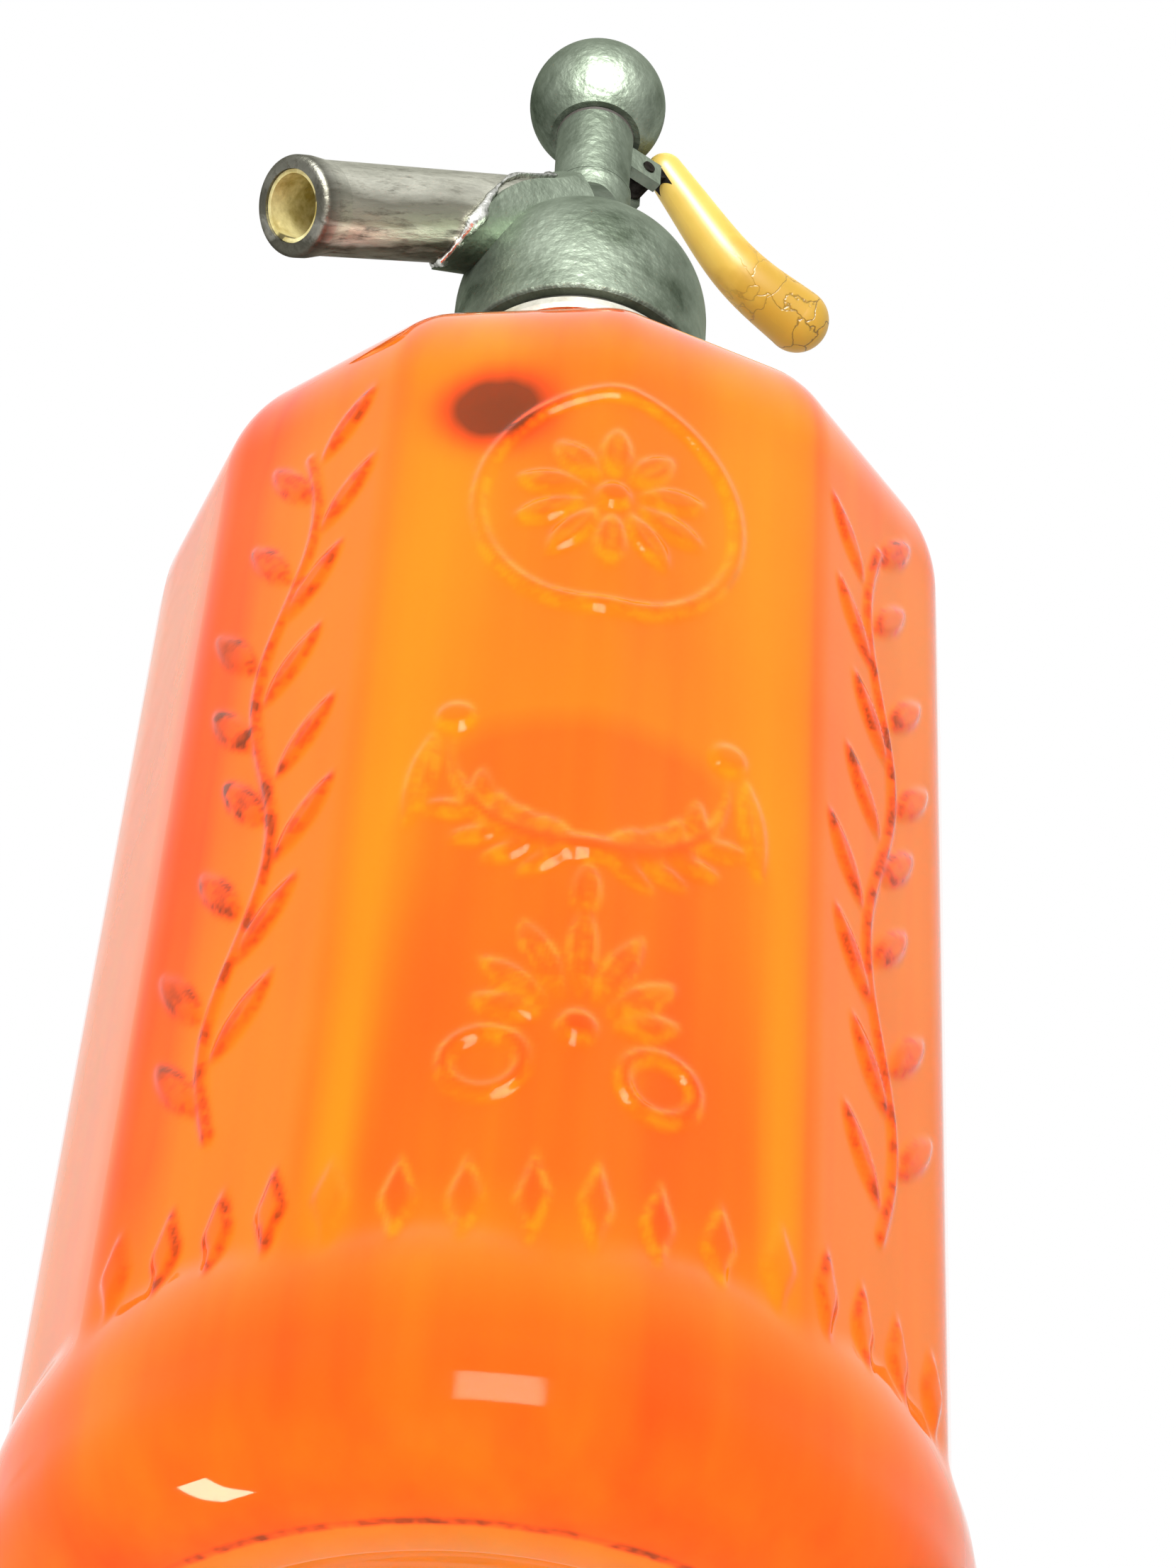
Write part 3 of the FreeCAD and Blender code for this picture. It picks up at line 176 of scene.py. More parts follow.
def skin(name, rings, inner_from):
    """A closed mesh through rings of points, each (n, 3).

    Rings of equal size are joined by quads, a ring and one with half as many points by triangles, and a
    ring of one point closes the end as a fan. Faces point out when rings run counter-clockwise upwards.
    Faces from the ring inner_from on take the second material.
    """
    starts = np.cumsum([0] + [len(ring) for ring in rings])
    faces = []
    for index in range(len(rings) - 1):
        low, high = starts[index], starts[index + 1]
        count, other = len(rings[index]), len(rings[index + 1])
        if index == inner_from:
            outer_faces = len(faces)
        j = np.arange(count)
        k = (j + 1) % count
        if count == other:
            faces += np.stack([low + j, low + k, high + k, high + j], 1).tolist()
        elif count == 1:
            j = np.arange(other)
            faces += np.stack([np.full(other, low), high + (j + 1) % other, high + j], 1).tolist()
        elif other == 1:
            faces += np.stack([low + j, low + k, np.full(count, high)], 1).tolist()
        elif count == other * 2:
            m = np.arange(other)
            n = (m + 1) % other
            a, b, c = low + 2 * m, low + 2 * m + 1, low + (2 * m + 2) % count
            faces += np.stack([a, b, high + m], 1).tolist() + np.stack([b, high + n, high + m], 1).tolist()
            faces += np.stack([b, c, high + n], 1).tolist()
        else:
            a, b, c = high + 2 * j, high + 2 * j + 1, high + (2 * j + 2) % other
            faces += np.stack([low + j, b, a], 1).tolist() + np.stack([low + j, low + k, b], 1).tolist()
            faces += np.stack([low + k, c, b], 1).tolist()
    mesh = bpy.data.meshes.new(name)
    mesh.from_pydata((np.concatenate(rings) * MM).tolist(), [], faces)
    mesh.polygons.foreach_set("use_smooth", np.ones(len(faces), dtype=bool))
    mesh.polygons.foreach_set("material_index", (np.arange(len(faces)) >= outer_faces).astype(np.int32))
    mesh.update()
    made = bpy.data.objects.new(name, mesh)
    scene.collection.objects.link(made)
    return made


def arc(centre, radius, start, end, count):
    """Points (across, up) on an arc, angles in degrees from the across axis."""
    turn = np.radians(np.linspace(start, end, count))
    return np.stack([centre[0] + radius * np.cos(turn), centre[1] + radius * np.sin(turn)], 1)


def run(start, end, count):
    """Points (across, up) on a straight line."""
    return np.linspace(start, end, count)


bottle_low, bottle_high = (np.array(corner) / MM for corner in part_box("glass_bottle"))
MOUTH_TOP = bottle_high[2]
HEEL = (bottle_high - bottle_low)[:2].min() / 2  # radius of the heel band
FLAT = HEEL - 3.0  # from the axis to the middle of a panel
HEEL_ROUND, HEEL_TOP, HEEL_FADE = 12.5, 18.0, 30.0  # lower rounding, widest height, curve above it
STAND_OUT = HEEL - HEEL_ROUND  # the standing ring, outside and inside
STAND_IN = STAND_OUT - 3.7
PUNT = 9.0  # rise of the hollow base
PANEL_TOP = 168.0
NECK, FLARE, BORE, BEAD = 13.2, 7.0, 8.6, 15.4  # radii of the neck, its flare, the bore and the mouth's bead
WALL = 5.0
THROAT = NECK + FLARE
BEND = FLAT - THROAT  # radius of the shoulder
SIDES = 12
RIDGE_SOFT = 0.025
RELIEF, RELIEF_EDGE = 0.8, 1.0  # height of the ornament, width of its sloping edge
FRONT_RIDGE = math.radians(-117.0)


def panel_factor(angle):
    """Radius of the twelve-sided section over its flat radius.

    One over the larger cosine of the angles to the two nearest panel centres, where the larger of the two is
    taken with a soft blend, so that the ridge between two panels is rounded.
    """
    step = 2 * math.pi / SIDES
    from_ridge = (angle - FRONT_RIDGE + step / 2) % step - step / 2
    first, second = np.cos(from_ridge - step / 2), np.cos(from_ridge + step / 2)
    soft = np.maximum(RIDGE_SOFT - np.abs(first - second), 0) ** 2 / (4 * RIDGE_SOFT)
    return 1 / (np.maximum(first, second) + soft)


def pressed(inside_by):
    """Height of a pressed form by the distance in from its edge: a rounded step, from a little outside."""
    share = np.clip(inside_by / RELIEF_EDGE + 0.35, 0, 1)
    return RELIEF * share * share * (3 - 2 * share)


def leaf(across, up, foot, heading, length, half):
    """A leaf between two equal arcs, with a sunk vein; the heading is in degrees clockwise from upright."""
    vein_half, vein_depth = 0.3, 0.45
    turn = math.radians(heading)
    du, dv = across - foot[0], up - foot[1]
    along = du * math.sin(turn) + dv * math.cos(turn)
    aside = np.abs(du * math.cos(turn) - dv * math.sin(turn))
    bow = (length * length / 4 + half * half) / (half * 2)
    edge = bow - np.hypot(along - length / 2, aside + bow - half)
    return pressed(edge) * (1 - vein_depth * np.exp(-(aside / vein_half) ** 2) * (edge > 0.4))


def stud(across, up, middle, radius):
    """A round stud with a low dome."""
    return pressed(radius - np.hypot(across - middle[0], up - middle[1]))


def ornament(angle, radius, height):
    """Height of the raised ornament in mm, for arrays of angle, radius of the panels and height.

    At each point the highest of all its forms: a medallion, a swag and a palmette up the front ridge, a
    band of lozenges above the heel, and a leaf spray up the panel at each side.
    """
    top = np.zeros(angle.shape)

    def from_ridge(panels):
        """Distance across, seen straight on, from a plane so many panels to the right of the front ridge."""
        return radius * np.sin(angle - FRONT_RIDGE - math.radians(30 * panels))

    def near(panels, degrees):
        """Where the angle is within so many degrees of that plane."""
        return np.abs(angle - FRONT_RIDGE - math.radians(30 * panels)) < math.radians(degrees)

    def lay(shape, where):
        """Take the shape into the whole where it stands higher."""
        np.maximum(top, np.where(where, shape, 0), out=top)

    across, front = from_ridge(0), near(0, 40)

    # Oval medallion: a raised ring round a flower of ten petals.
    wide, tall, ring_inside, middle, petals, petal_foot = 17.0, 20.5, 0.895, 143.0, 10, 3.4
    oval = np.hypot(across / wide, (height - middle) / tall)
    lay(np.minimum(pressed((1 - oval) * wide), pressed((oval - ring_inside) * wide)), front)
    lay(stud(across, height, (0, middle), 2.2), front)
    for index in range(petals):
        heading = 360 / petals * index
        turn = math.radians(heading)
        foot = (petal_foot * math.sin(turn), middle + petal_foot * math.cos(turn))
        lay(leaf(across, height, foot, heading, 9.0, 1.9), front)

    # Swag between two studs: a crescent between two arcs, leaves in pairs along it, tassels and a drop.
    reach, sag, thick, hung = 16.0, 15.0, 3.2, 100.5
    deep = sag + thick
    upper, lower = (reach ** 2 + sag ** 2) / (2 * sag), (reach ** 2 + deep ** 2) / (2 * deep)
    above = np.hypot(across, height - hung + sag - upper) - upper
    below = lower - np.hypot(across, height - hung + deep - lower)
    lay(pressed(np.minimum(above, below)), front & (height < hung + 1.0))
    for side in (-1, 1):
        lay(stud(across, height, (side * reach, hung + 4.4), 2.2), front)
        lay(leaf(across, height, (side * (reach + 2.2), hung + 2.0), 180 - side * 8, 15.0, 1.5), front)
        for share in (0.1, 0.32, 0.54, 0.76):
            aside = reach * share
            foot = (side * aside, hung - sag - thick / 2 + upper - math.sqrt(upper ** 2 - aside ** 2))
            slope = side * math.degrees(math.asin(aside / upper))
            for tilt in (-38, 38):
                lay(leaf(across, height, foot, side * 90 - slope + tilt, 7.0, 1.2), front)
    lay(leaf(across, height, (0, hung - 19.0), 180, 8.5, 1.6), front)

    # Palmette of seven leaves over two ring scrolls.
    root, leaf_foot, longest = 57.5, 4.4, 13.5
    lay(stud(across, height, (0, root), 2.2), front)
    for heading, share in ((0, 1.0), (24, 0.92), (-24, 0.92), (48, 0.77), (-48, 0.77), (70, 0.58),
                           (-70, 0.58)):
        turn = math.radians(heading)
        foot = (leaf_foot * math.sin(turn), root + leaf_foot * math.cos(turn))
        lay(leaf(across, height, foot, heading, longest * share, 1.6), front)
    for side in (-1, 1):
        from_middle = np.hypot(across - side * 9.5, height - root + 5.0)
        lay(np.minimum(pressed(5.0 - from_middle), pressed(from_middle - 3.2)), front)

    # Band of lozenges above the heel, four to a panel; to_side is from a lozenge's middle to its sides.
    half_wide, half_tall, to_side, middle, pitch = 1.9, 6.0, 1.8, 34.0, 7.0
    for panels in (-1.5, -0.5, 0.5, 1.5):
        across = from_ridge(panels)
        for step in (-1.5, -0.5, 0.5, 1.5):
            inward = 1 - np.abs(across - pitch * step) / half_wide - np.abs(height - middle) / half_tall
            lay(pressed(inward * to_side), near(panels, 15.5))

    # Leaf sprays: a stem that waves twice from side to side, with leaves by turns left and right.
    start, half_wave, half_waves, sway, leaves = 48.0, 28.0, 4, 2.8, 16
    for hand, panels in ((-1, -1.5), (1, 1.5)):
        across, here = from_ridge(panels), near(panels, 17)
        share = (height - start) / half_wave
        stem = sway * np.sin(math.pi * share) * hand
        lay(pressed(0.6 - np.abs(across - stem)) * (share > 0) * (share < half_waves), here)
        for index in range(leaves):
            share = (index + 0.5) * half_waves / leaves
            side = 1 if index % 2 else -1
            foot = (sway * math.sin(math.pi * share) * hand + 1.2 * side, start + 1.2 + half_wave * share)
            lay(leaf(across, height, foot, 36 * side, 12.5, 1.6), here)
    return top


def glass_depth(angle, across, height):
    """How light the orange is: 0 smoky, 0.2 deep, 0.5 middle, 1 pale.

    Soft bells and slopes, round the bottle and up it, are added to the middle tone. The ridges, the heel and
    the shoulder are thick and deep in colour. Beside the second ridges to each side it is paled by a painted
    reflection of the white surround, and low on the front, under an arch, it is darkened by painted shade.
    Low on the heel, left of the front, is a pale patch, and beside the third ridge on the left a dark line.
    The foot inside the standing ring is pale. High on the front is a small smoky spot.
    """
    def bell(share):
        """One in the middle, falling off both ways as the exponential of minus the square."""
        return np.exp(-share ** 2)

    def slope(value, start, end):
        """Zero at the start, one at the end, straight between and level beyond."""
        return np.clip((value - start) / (end - start), 0, 1)

    turn = np.degrees((angle - FRONT_RIDGE + math.pi) % (2 * math.pi) - math.pi)
    from_ridge = (turn + 15) % 30 - 15
    # Painted reflection of the white surround: pale bands beside the second ridge on each side, wider higher
    # up.
    rise = slope(height, 40, 150)
    painted_reflection_half = 2.6 + 5 * rise
    left_painted_reflection = bell((turn + 27 - 5 * rise) / painted_reflection_half)
    right_painted_reflection = bell((turn - 26.5 + 4 * rise) / painted_reflection_half) * slope(turn, 30, 29)
    side_ridges = bell(from_ridge / 1.6) * (np.abs(turn) > 15)
    # Painted shade: a darker arch low on the front, above the heel.
    arch_top = 107 - 14 * (turn / 24) ** 4
    arch = slope(height, arch_top, arch_top - 5) * slope(np.abs(turn), 26, 23)
    above_heel = slope(height, 24, 38)
    light = 0.5 + (0.22 * left_painted_reflection + 0.22 * right_painted_reflection - 0.08 * side_ridges - 0.17 * arch) * above_heel
    light += 0.2 * bell((turn + 52) / 6.0) * bell((height - 14) / 9)
    light -= 0.34 * bell((turn + 56) / 5.0) * np.maximum(slope(height, 20, 50), 0.2)
    light -= 0.19 * slope(height, 30, 16) + 0.26 * slope(height, 158, 188)
    light += 0.3 * slope(across, 44.2, 43.4) * (height < 12)
    smoke = np.exp(-(((turn + 17.0) / 8.6) ** 2 + ((height - 160) / 8.0) ** 2) ** 1.6)
    return np.clip(light, 0.22, 1) * (1 - smoke) - 0.15 * smoke


# Angles round the bottle: close together on the front panels, wider apart behind.
FINE_HALF, FINE_COLUMNS, COARSE_COLUMNS = math.radians(62), 272, 48
angles = FRONT_RIDGE + np.concatenate([
    np.linspace(-FINE_HALF, FINE_HALF, FINE_COLUMNS, endpoint=False),
    np.linspace(FINE_HALF, 2 * math.pi - FINE_HALF, COARSE_COLUMNS, endpoint=False)])
few = slice(None, None, 2)


def ring(radius, height, angle):
    """Points of one ring; radius is a number or one value for each angle."""
    return np.stack([radius * np.cos(angle), radius * np.sin(angle), np.full(angle.shape, height)], 1)


# The base: a shallow spherical hollow, the standing ring, and the rounding up to the heel band.
rings = [np.array([[0, 0, PUNT]])]
punt_sweep = (STAND_IN ** 2 + PUNT ** 2) / (2 * PUNT)
for across in np.linspace(0, STAND_IN - 0.5, 12)[1:]:
    height = PUNT - punt_sweep + math.sqrt(punt_sweep ** 2 - across ** 2)
    rings.append(ring(across, height, angles[few]))
for across, height in np.concatenate([run((STAND_IN + 0.3, 0.0), (STAND_OUT - 0.2, 0.0), 2),
                                      arc((STAND_OUT, HEEL_ROUND), HEEL_ROUND, -87, -80, 4),
                                      arc((STAND_OUT, HEEL_ROUND), HEEL_ROUND, -74, 0, 11)]):
    rings.append(ring(across, height, angles[few]))

# Heel band and panels: the larger of the two with a soft blend, and the ornament, its edges smoothed once.
panels_from = sum(len(each) for each in rings)
factor = panel_factor(angles)
panel = FLAT * factor
BLEND = 1.6
heights = np.concatenate([np.linspace(13.5, 26.4, 12), np.linspace(27.0, PANEL_TOP, 213)])
raised = ornament(*np.broadcast_arrays(angles, panel, heights[:, None]))
raised[1:-1] = raised[:-2] / 4 + raised[1:-1] / 2 + raised[2:] / 4
raised = np.roll(raised, 1, 1) / 4 + raised / 2 + np.roll(raised, -1, 1) / 4
for height, lift in zip(heights, raised):
    band = HEEL
    if height > HEEL_TOP:
        band = HEEL - HEEL_FADE + math.sqrt(HEEL_FADE ** 2 - min(height - HEEL_TOP, HEEL_FADE * 0.99) ** 2)
    share = np.clip(0.5 + (band - panel) / BLEND, 0, 1)
    radius = panel + (band - panel) * share + BLEND / 2 * share * (1 - share) + lift
    rings.append(ring(np.minimum(radius, HEEL), height, angles))

# Shoulder, with the panels running up it, and the flare, where they fade into the round neck.
SHOULDER_TURN = 84
for across, height in arc((THROAT, PANEL_TOP), BEND, 0, SHOULDER_TURN, 28)[1:]:
    rings.append(ring(across * factor, height, angles))
flare = arc((THROAT, PANEL_TOP + BEND + FLARE), FLARE, 180 + SHOULDER_TURN, 180, 14)
for share, (across, height) in zip(np.linspace(1, 0, len(flare)), flare):
    rings.append(ring(across * (1 + (factor[few] - 1) * share), height, angles[few]))

# Neck, bead, mouth and the upper bore.
NECK_FROM, BORE_END, BEAD_LOW, LIP_ROUND = 209.0, 207.2, MOUTH_TOP - 6.0, 1.2
for across, height in np.concatenate([
        run((NECK, NECK_FROM), (NECK, BEAD_LOW - 2.4), 3),
        run((NECK + 0.3, BEAD_LOW - 1.8), (BEAD - 0.2, BEAD_LOW - 0.1), 3),
        run((BEAD, BEAD_LOW + 0.4), (BEAD, MOUTH_TOP - 1.3), 2),
        arc((BEAD - LIP_ROUND, MOUTH_TOP - LIP_ROUND), LIP_ROUND, 10, 90, 5),
        run((BORE + 1.0, MOUTH_TOP), (BORE + 0.15, MOUTH_TOP - 0.15), 2),
        run((BORE, MOUTH_TOP - 0.8), (BORE, BORE_END), 5)]):
    rings.append(ring(across, height, angles[few]))

# The inside is blown, so it is round and waves gently: a few slow lobes round it, drifting with height.
lining = len(rings) - 1
INNER = FLAT - WALL
inner_flare = THROAT - BORE
FLOOR_TOP, FLOOR_SIDE, FLOOR_ROUND = 15.5, 10.1, 10.0
floor_edge = INNER - FLOOR_ROUND
floor_sweep = (floor_edge ** 2 + (FLOOR_TOP - FLOOR_SIDE) ** 2) / (2 * (FLOOR_TOP - FLOOR_SIDE))
for across, height in np.concatenate([
        arc((THROAT, PANEL_TOP + BEND - WALL + inner_flare), inner_flare, 180, 180 + SHOULDER_TURN, 8),
        arc((THROAT, PANEL_TOP), BEND - WALL, 88, 0, 14),
        run((INNER, PANEL_TOP - 5), (INNER, FLOOR_SIDE + FLOOR_ROUND + 3), 14),
        arc((floor_edge, FLOOR_SIDE + FLOOR_ROUND), FLOOR_ROUND, 0, -84, 9)]):
    wave = 0.16 * np.sin(3 * angles[few] + height * 0.013)
    wave += 0.10 * np.sin(7 * angles[few] - height * 0.021 + 1.3)
    wave += 0.12 * math.sin(height * 0.11) + 0.05 * np.sin(17 * angles[few] + 0.7)
    rings.append(ring(across + wave * min(1.0, (across - BORE) / 12), height, angles[few]))
for across in np.linspace(floor_edge - 1.5, 0, 10)[:-1]:
    height = FLOOR_TOP - floor_sweep + math.sqrt(floor_sweep ** 2 - across ** 2)
    rings.append(ring(across, height, angles[few]))
rings.append(np.array([[0, 0, FLOOR_TOP]]))
bottle = skin("pressed_glass_bottle", rings, lining)

# The tone of the glass goes with each point, with painted reflection and painted shade in it. Raised glass is
# a little deeper in colour. Edges are stored by themselves: painted light round the ornament in front,
# painted shade round that at the sides, and dark scuffs along the standing ring.
points = np.concatenate(rings)
across = np.hypot(points[:, 0], points[:, 1])
lightness = glass_depth(np.arctan2(points[:, 1], points[:, 0]), across, points[:, 2])
rise = raised / RELIEF
on_panels = slice(panels_from, panels_from + rise.size)
lightness[on_panels] -= 0.1 * rise.ravel()
light = bottle.data.attributes.new("light", "FLOAT", "POINT")
light.data.foreach_set("value", lightness)
steep = np.exp(-((across - STAND_OUT - 1.3) / 0.5) ** 2) * (points[:, 2] < 1)
# Round the ornament the edge is painted light in front and painted shade at the sides.
turn = np.degrees(np.abs(angles - FRONT_RIDGE))
beside = np.clip((turn - 22) / 10, 0, 1) * np.clip((64 - turn) / 14, 0.35, 1)
steep[on_panels] = (4 * rise * (1 - rise) * (1.9 * beside - 0.9)).ravel()
edge = bottle.data.attributes.new("edge", "FLOAT", "POINT")
edge.data.foreach_set("value", steep)


def orange_glass(name, smoky, deep, middle, pale, rough, clear, shine):
    """Orange glass, cloudy enough to glow; clear is the share of light that passes it.

    The colour goes with the stored lightness, which holds painted reflection and painted shade, with clouds
    about 45 mm across, upright streaks about 6 mm wide, and the stored edges, painted light and shade round
    the ornament and dark scuffs along the standing ring, broken up every 3 mm. Ripples of 11 mm from the
    mould bend what it mirrors. Its mirror images are kept faint and warm, so that the white surround doesn't
    veil the colour.
    """
    made, tree, out = blank(name)
    where = add(tree, "ShaderNodeTexCoord")
    stored = add(tree, "ShaderNodeAttribute", attribute_name="light")
    cloud = add(tree, "ShaderNodeTexNoise", {"Vector": where.outputs["Object"], "Scale": 22.0, "Detail": 3.0})
    drift = add(tree, "ShaderNodeMapRange", {"Value": cloud.outputs["Fac"], "To Min": -0.12, "To Max": 0.12})
    upright = add(tree, "ShaderNodeVectorMath", {0: where.outputs["Object"], 1: (1.0, 1.0, 0.06)},
                  operation="MULTIPLY")
    seed = add(tree, "ShaderNodeTexNoise", {"Vector": upright.outputs[0], "Scale": 160.0, "Detail": 2.0})
    streak = add(tree, "ShaderNodeMapRange", {"Value": seed.outputs["Fac"], "To Min": -0.12, "To Max": 0.12})
    # Painted light and shade round the ornament, and the scuffs along the standing ring: the stored edge,
    # broken up, darkens where it is positive and lightens where it is negative.
    edge = add(tree, "ShaderNodeAttribute", attribute_name="edge")
    break_up = add(tree, "ShaderNodeTexNoise", {"Vector": where.outputs["Object"], "Scale": 330.0,
                                                "Detail": 2.0})
    broken = add(tree, "ShaderNodeMapRange", {"Value": break_up.outputs["Fac"], "From Min": 0.42,
                                              "From Max": 0.62, "To Min": -0.12, "To Max": -0.42})
    dark = add(tree, "ShaderNodeMath", {0: edge.outputs["Fac"], 1: broken.outputs["Result"]},
               operation="MULTIPLY")
    total = stored.outputs["Fac"]
    for part in (drift.outputs["Result"], streak.outputs["Result"], dark.outputs[0]):
        total = add(tree, "ShaderNodeMath", {0: total, 1: part}, operation="ADD").outputs[0]
    ramp = add(tree, "ShaderNodeValToRGB", {"Fac": total})
    ramp.color_ramp.elements[0].color = linear(smoky)
    ramp.color_ramp.elements[1].color = linear(pale)
    ramp.color_ramp.elements.new(0.2).color = linear(deep)
    ramp.color_ramp.elements.new(0.5).color = linear(middle)
    ripple = add(tree, "ShaderNodeTexNoise", {"Vector": where.outputs["Object"], "Scale": 90.0,
                                              "Detail": 2.0})
    press = add(tree, "ShaderNodeBump", {"Height": ripple.outputs["Fac"], "Strength": 0.12,
                                         "Distance": 0.0006})
    glass = add(tree, "ShaderNodeBsdfPrincipled", {
        "Base Color": ramp.outputs["Color"], "Roughness": rough, "IOR": 1.5, "Specular IOR Level": shine,
        "Specular Tint": linear("#FFEACA"), "Transmission Weight": clear, "Normal": press.outputs["Normal"]})
    tree.links.new(glass.outputs[0], out.inputs["Surface"])
    return made


# The outside is fire-polished and holds most of the colour; the inside is clear, a little wavy and dull.
bottle.data.materials.append(orange_glass(
    "pressed_soda_lime_glass_orange", "#82390A", "#FF5A00", "#FF8A00", "#FFB000",
    rough=0.04, clear=0.42, shine=0.15))
bottle.data.materials.append(orange_glass(
    "blown_soda_lime_glass_orange_inside", "#B86428", "#FFA81C", "#FFC020", "#FFD828",
    rough=0.35, clear=1.0, shine=0.2))
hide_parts("glass_bottle")
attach(bottle, "bottle")


# ---- Head and valve metals ------------------------------------------------------------------------------
# The head is a cast tin alloy, turned on a lathe and worn dull: grey with a green cast and small dents, and
# with painted shade in a thin band at the rim. The ring under it is tinned brass, the works are brass, iron
# and bronze.

def dress(names, material):
    """Give CAD nodes a material."""
    for name in names:
        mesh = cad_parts[name].data
        mesh.materials.clear()
        mesh.materials.append(material)


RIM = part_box("head_body")[0][2]
# Painted shade where the head's rim meets the lock ring: every metal is darkened in a thin band at that
# height.
RIM_SHADE_BELOW, RIM_SHADE_FULL, RIM_SHADE_END = 0.0005, 0.0002, 0.0006  # metres below and above the head's rim


def metal(name, pale, dark, rough, patch_scale, dent, bare=1.0):
    """Worn metal: two tones laid by a cloud pattern, roughness with the tone, and dents about 1.4 mm apart.

    patch_scale is 1000 over the size of a patch in mm. bare is the share that shines as metal; the rest is
    dull oxide. At the height of the head's rim it is darkened by painted shade.
    """
    made, tree, out = blank(name)
    where = add(tree, "ShaderNodeTexCoord")
    patches = add(tree, "ShaderNodeTexNoise", {"Vector": where.outputs["Object"], "Scale": patch_scale,
                                               "Detail": 6.0, "Roughness": 0.6})
    tone = add(tree, "ShaderNodeMapRange", {"Value": patches.outputs["Fac"], "From Min": 0.35,
                                            "From Max": 0.65})
    colour = add(tree, "ShaderNodeMixRGB", {"Fac": tone.outputs["Result"], "Color1": linear(dark),
                                            "Color2": linear(pale)})
    gloss = add(tree, "ShaderNodeMapRange", {"Value": tone.outputs["Result"], "To Min": rough + 0.12,
                                             "To Max": rough})
    pits = add(tree, "ShaderNodeTexNoise", {"Vector": where.outputs["Object"], "Scale": 700.0, "Detail": 3.0})
    bump = add(tree, "ShaderNodeBump", {"Height": pits.outputs["Fac"], "Strength": dent, "Distance": 0.0004})
    # Painted shade at the head's rim: three quarters dark from 0.5 mm under it to 0.2 mm over it, fading out
    # by 0.6 mm over it.
    height = add(tree, "ShaderNodeSeparateXYZ", {0: where.outputs["Object"]})
    fading = add(tree, "ShaderNodeMapRange", {"Value": height.outputs["Z"], "From Min": RIM + RIM_SHADE_FULL,
                                              "From Max": RIM + RIM_SHADE_END, "To Min": 0.75, "To Max": 0.0})
    at_rim = add(tree, "ShaderNodeMath", {0: height.outputs["Z"], 1: RIM - RIM_SHADE_BELOW},
                 operation="GREATER_THAN")
    rim_shade = add(tree, "ShaderNodeMath", {0: fading.outputs["Result"], 1: at_rim.outputs[0]},
                operation="MULTIPLY")
    rim_shaded = add(tree, "ShaderNodeMixRGB", {"Fac": rim_shade.outputs[0], "Color1": colour.outputs["Color"],
                                             "Color2": linear("#24241F")})
    worn = add(tree, "ShaderNodeBsdfPrincipled", {
        "Base Color": rim_shaded.outputs["Color"], "Metallic": bare, "Roughness": gloss.outputs["Result"],
        "Specular Tint": linear("#8C8C86"), "Normal": bump.outputs["Normal"]})
    tree.links.new(worn.outputs[0], out.inputs["Surface"])
    return made


dress(["head_body", "valve_column", "ball_cap"],
      metal("cast_pewter_turned_worn", "#858F80", "#434B3F", 0.46, 70.0, 0.6, 0.95))
dress(["lock_ring"], metal("tinned_brass_worn", "#E6E3D6", "#A8A596", 0.3, 300.0, 0.2))
dress(["spout_liner"], metal("drawn_brass_stained", "#F2E8AE", "#A2904C", 0.45, 250.0, 0.3, 0.45))
dress(["clamp_half_left", "clamp_half_right", "valve_seat", "valve_piston", "disc_screw", "packing_nut",
       "spring_plate", "tube_ferrule"], metal("turned_brass_dull", "#E6D68C", "#B09C50", 0.32, 200.0, 0.2))
dress(["lever_pin", "lever_arm"], metal("forged_iron_oiled", "#3A3733", "#191715", 0.45, 400.0, 0.4))
dress(["return_spring"], metal("drawn_bronze_wire", "#B08A55", "#7A5A30", 0.3, 300.0, 0.1))


# ---- Spout and solder -----------------------------------------------------------------------------------
# The tube is the same alloy, tarnished dark, with painted reflection in bands round it and a bright painted
# streak along its lower left side. Where it leaves the head's cast socket runs a bead of bright solder, wiped
# on by hand. Sizes are in mm.
SPOUT_ROOT = np.array([0, 0, 264.5])
DROOP = math.radians(36.0)
SPOUT_RADIUS, SPOUT_LENGTH, SOCKET_REACH, DOME_RADIUS, DOME_CENTRE = 6.8, 62.0, 5.0, 18.7, 241.3
spout_way = np.array([-math.cos(DROOP), 0, -math.sin(DROOP)])
sideways, underneath = np.array([0, 1.0, 0]), np.array([math.sin(DROOP), 0, -math.cos(DROOP)])
lower_left = 0.79 * underneath + 0.615 * sideways


def socket_radius(height):
    """Reach of the socket from the head's axis: a sphere about the dome's centre, then a hollow arc."""
    swell, hollow_from = DOME_RADIUS + SOCKET_REACH, 256.4
    hollow, hollow_across, hollow_height = 15.0, 25.9, 267.7
    if height < hollow_from:
        return math.sqrt(swell ** 2 - max(height - DOME_CENTRE, 0) ** 2)
    return hollow_across - math.sqrt(max(hollow ** 2 - (height - hollow_height) ** 2, 0))


def hand_line(turn):
    """Centre of the solder at an angle round the spout, and the way out from the tube there.

    Coming up the tube from its mouth, it is the first point that lies inside the socket's reach.
    """
    out = math.cos(turn) * sideways + math.sin(turn) * underneath
    for along in np.arange(40.0, 6.0, -0.1):
        point = SPOUT_ROOT + spout_way * along + out * (SPOUT_RADIUS + 0.3)
        if math.hypot(point[0], point[1]) < socket_radius(point[2]):
            break
    return point, out


